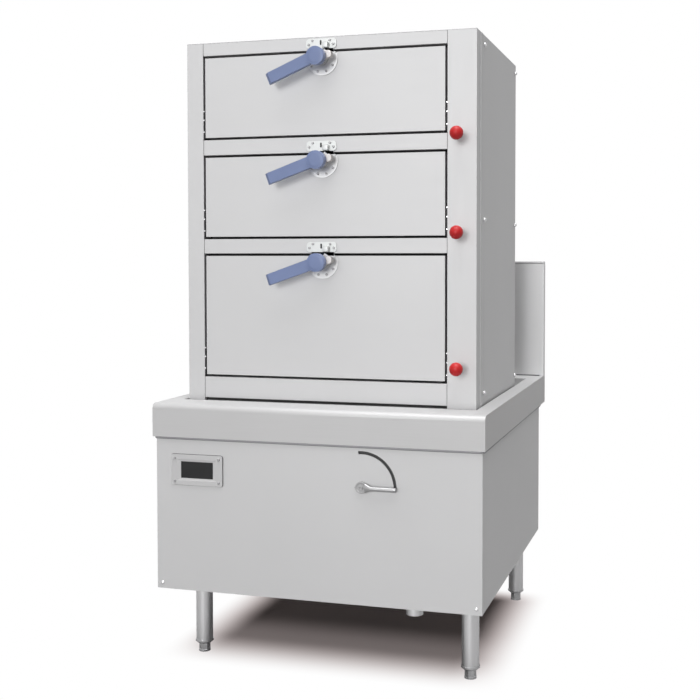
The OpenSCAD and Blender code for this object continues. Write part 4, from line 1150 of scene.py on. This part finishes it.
# Trim: packing in the seams beside the rails, a dark strip on the toe plate as painted shade under the
# bottom rail, the backsplash's hem and seal, and dark strips under the rim's skirts as painted shade
SEAM = 0.001
DOOR_GAP = 0.0065
PACKING_BEHIND = 0.0006
PACKING_T = 0.0010
PACKING_ROUND = 0.0001
TOE_BEHIND = 0.014
TOE_SHADE_T = 0.0015
TOE_SHADE_SPAN = (-0.0085, -0.0005)
HEM_W = 0.013
HEM_T = 0.0012
HEM_RISE = 0.008
HEM_ROUND = 0.0005
CAP_ROUND = 0.003
SPLASH_SEAL = 0.003
SKIRT_SHADE_STRIP = 0.006
STRIP_ROUND_SHARE = 0.3


def add_seam_packing():
    """Strips in the upright seams between the rails and the posts."""
    low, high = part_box("front_rails")
    edges = [rails_start()]
    for level in LEVELS:
        door_low, door_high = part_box(f"door_skin_{level}")
        edges += [door_low[2] - DOOR_GAP, door_high[2] + DOOR_GAP]
    edges.append(high[2])
    front = low[1] + PACKING_BEHIND
    back = front + PACKING_T
    strips = [
        trim_strip("packing", (x, front, start), (x + SEAM, back, end), PACKING_ROUND)
        for x in (low[0], high[0] - SEAM)
        for start, end in zip(edges[::2], edges[1::2])
    ]
    settle(join_pieces("seam_packing", strips), "cabinet", seal_rubber)


# A dark strip across the toe plate: painted shade in the gap under the bottom rail
def add_toe_shade_strip():
    low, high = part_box("front_rails")
    back = low[1] + TOE_BEHIND
    bottom, top = (rails_start() + step for step in TOE_SHADE_SPAN)
    seal_low = (low[0], back - TOE_SHADE_T, bottom)
    seal = trim_strip("toe_shade_strip", seal_low, (high[0], back, top), TOE_SHADE_T * STRIP_ROUND_SHARE)
    settle(seal, "cabinet", seal_rubber)


def add_splash_trim():
    low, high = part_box("backsplash")
    front = low[1] - HEM_T
    strips = [
        trim_strip("hem", (x, front, low[2]), (x + HEM_W, low[1], high[2]), HEM_ROUND)
        for x in (low[0], high[0] - HEM_W)
    ]
    cap_high = (high[0], high[1], high[2] + HEM_RISE)
    strips.append(trim_strip("hem", (low[0], front, high[2]), cap_high, CAP_ROUND))
    settle(join_pieces("splash_hem", strips), "cabinet", lit_splash_steel)
    seal_low = (low[0] + HEM_W, low[1] - SPLASH_SEAL, low[2])
    seal_high = (high[0] - HEM_W, low[1], low[2] + SPLASH_SEAL)
    seal = trim_strip("splash_seal", seal_low, seal_high, SPLASH_SEAL * STRIP_ROUND_SHARE)
    settle(seal, "cabinet", shade_and_seal_grey)


def add_skirt_shade_strips():
    """Dark strips in the corner between the rim's skirts and the base: painted shade for the shadow line
    under the skirts.
    """
    low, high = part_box("base_shell")
    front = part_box("base_front_panel")[0][1]
    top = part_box("top_rim")[0][2]
    bottom = top - SKIRT_SHADE_STRIP
    corners = [
        ((x, low[1], bottom), (x + SKIRT_SHADE_STRIP, high[1], top)) for x in (low[0] - SKIRT_SHADE_STRIP, high[0])
    ]
    corners.append(((low[0], front - SKIRT_SHADE_STRIP, bottom), (high[0], front, top)))
    edge = SKIRT_SHADE_STRIP * STRIP_ROUND_SHARE
    # Each strip is painted shade under a skirt
    shade_strips = [trim_strip("bead", start, end, edge) for start, end in corners]
    settle(join_pieces("skirt_shade_strips", shade_strips), "cabinet", bar_and_shade_steel)


add_seam_packing()
add_toe_shade_strip()
add_splash_trim()
add_skirt_shade_strips()


# Door liners: a raised pressing inside the seal
PRESSING_IN = 0.048
PRESSING_CORNER = 0.022
PRESSING_RISE = 0.0035
PRESSING_SLOPE = 0.0028


def add_pressing(level):
    low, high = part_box(f"door_liner_{level}")
    start = (low[0] + PRESSING_IN, high[1], low[2] + PRESSING_IN)
    end = (high[0] - PRESSING_IN, high[1] + PRESSING_RISE, high[2] - PRESSING_IN)
    pressing = rounded_block(f"liner_pressing_{level}", start, end, PRESSING_CORNER)
    soften(pressing, PRESSING_SLOPE, segments=4, angle=STEEP)
    settle(pressing, f"door_{level}", chamber_steel)


for level in LEVELS:
    add_pressing(level)


# Rear louvres: two columns of pressed hoods beside the inverter
LOUVRE_SIDES = 32
LOUVRE_R = 0.007
LOUVRE_ROUND = 0.00056
LOUVRE_L = 0.110
LOUVRE_END = 0.0055
LOUVRE_ROWS = 7
LOUVRE_PITCH = 0.026
LOUVRE_COLUMNS = (-0.30, -0.17)
LOUVRE_Z = 0.350


def add_louvre_form():
    """One hood along X on a face that looks towards +Y, open below."""
    hood = add_round("louvre_form", LOUVRE_SIDES, LOUVRE_R, LOUVRE_L, axis="X")
    for normal in ((0, 1, 0), (0, 0, 1)):
        cut((0, 0, 0), normal, use_fill=True, clear_inner=True)
    pick_corners(hood, lambda place: abs(place.x) > LOUVRE_L / 2 - TOUCH and place.y > LOUVRE_R / 2)
    bpy.ops.transform.resize(value=(1 - 2 * LOUVRE_END / LOUVRE_L, 1, 1), center_override=(0, 0, 0))
    soften(hood, LOUVRE_ROUND, segments=2)
    return hood


def add_louvres():
    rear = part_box("base_shell")[1][1]
    form = add_louvre_form()
    hoods = [
        copy_form(form, "louvre", (x, rear, LOUVRE_Z + row * LOUVRE_PITCH))
        for x in LOUVRE_COLUMNS
        for row in range(LOUVRE_ROWS)
    ]
    bpy.data.objects.remove(form)
    settle(join_pieces("rear_louvres", hoods), "cabinet", sheet_side)


add_louvres()
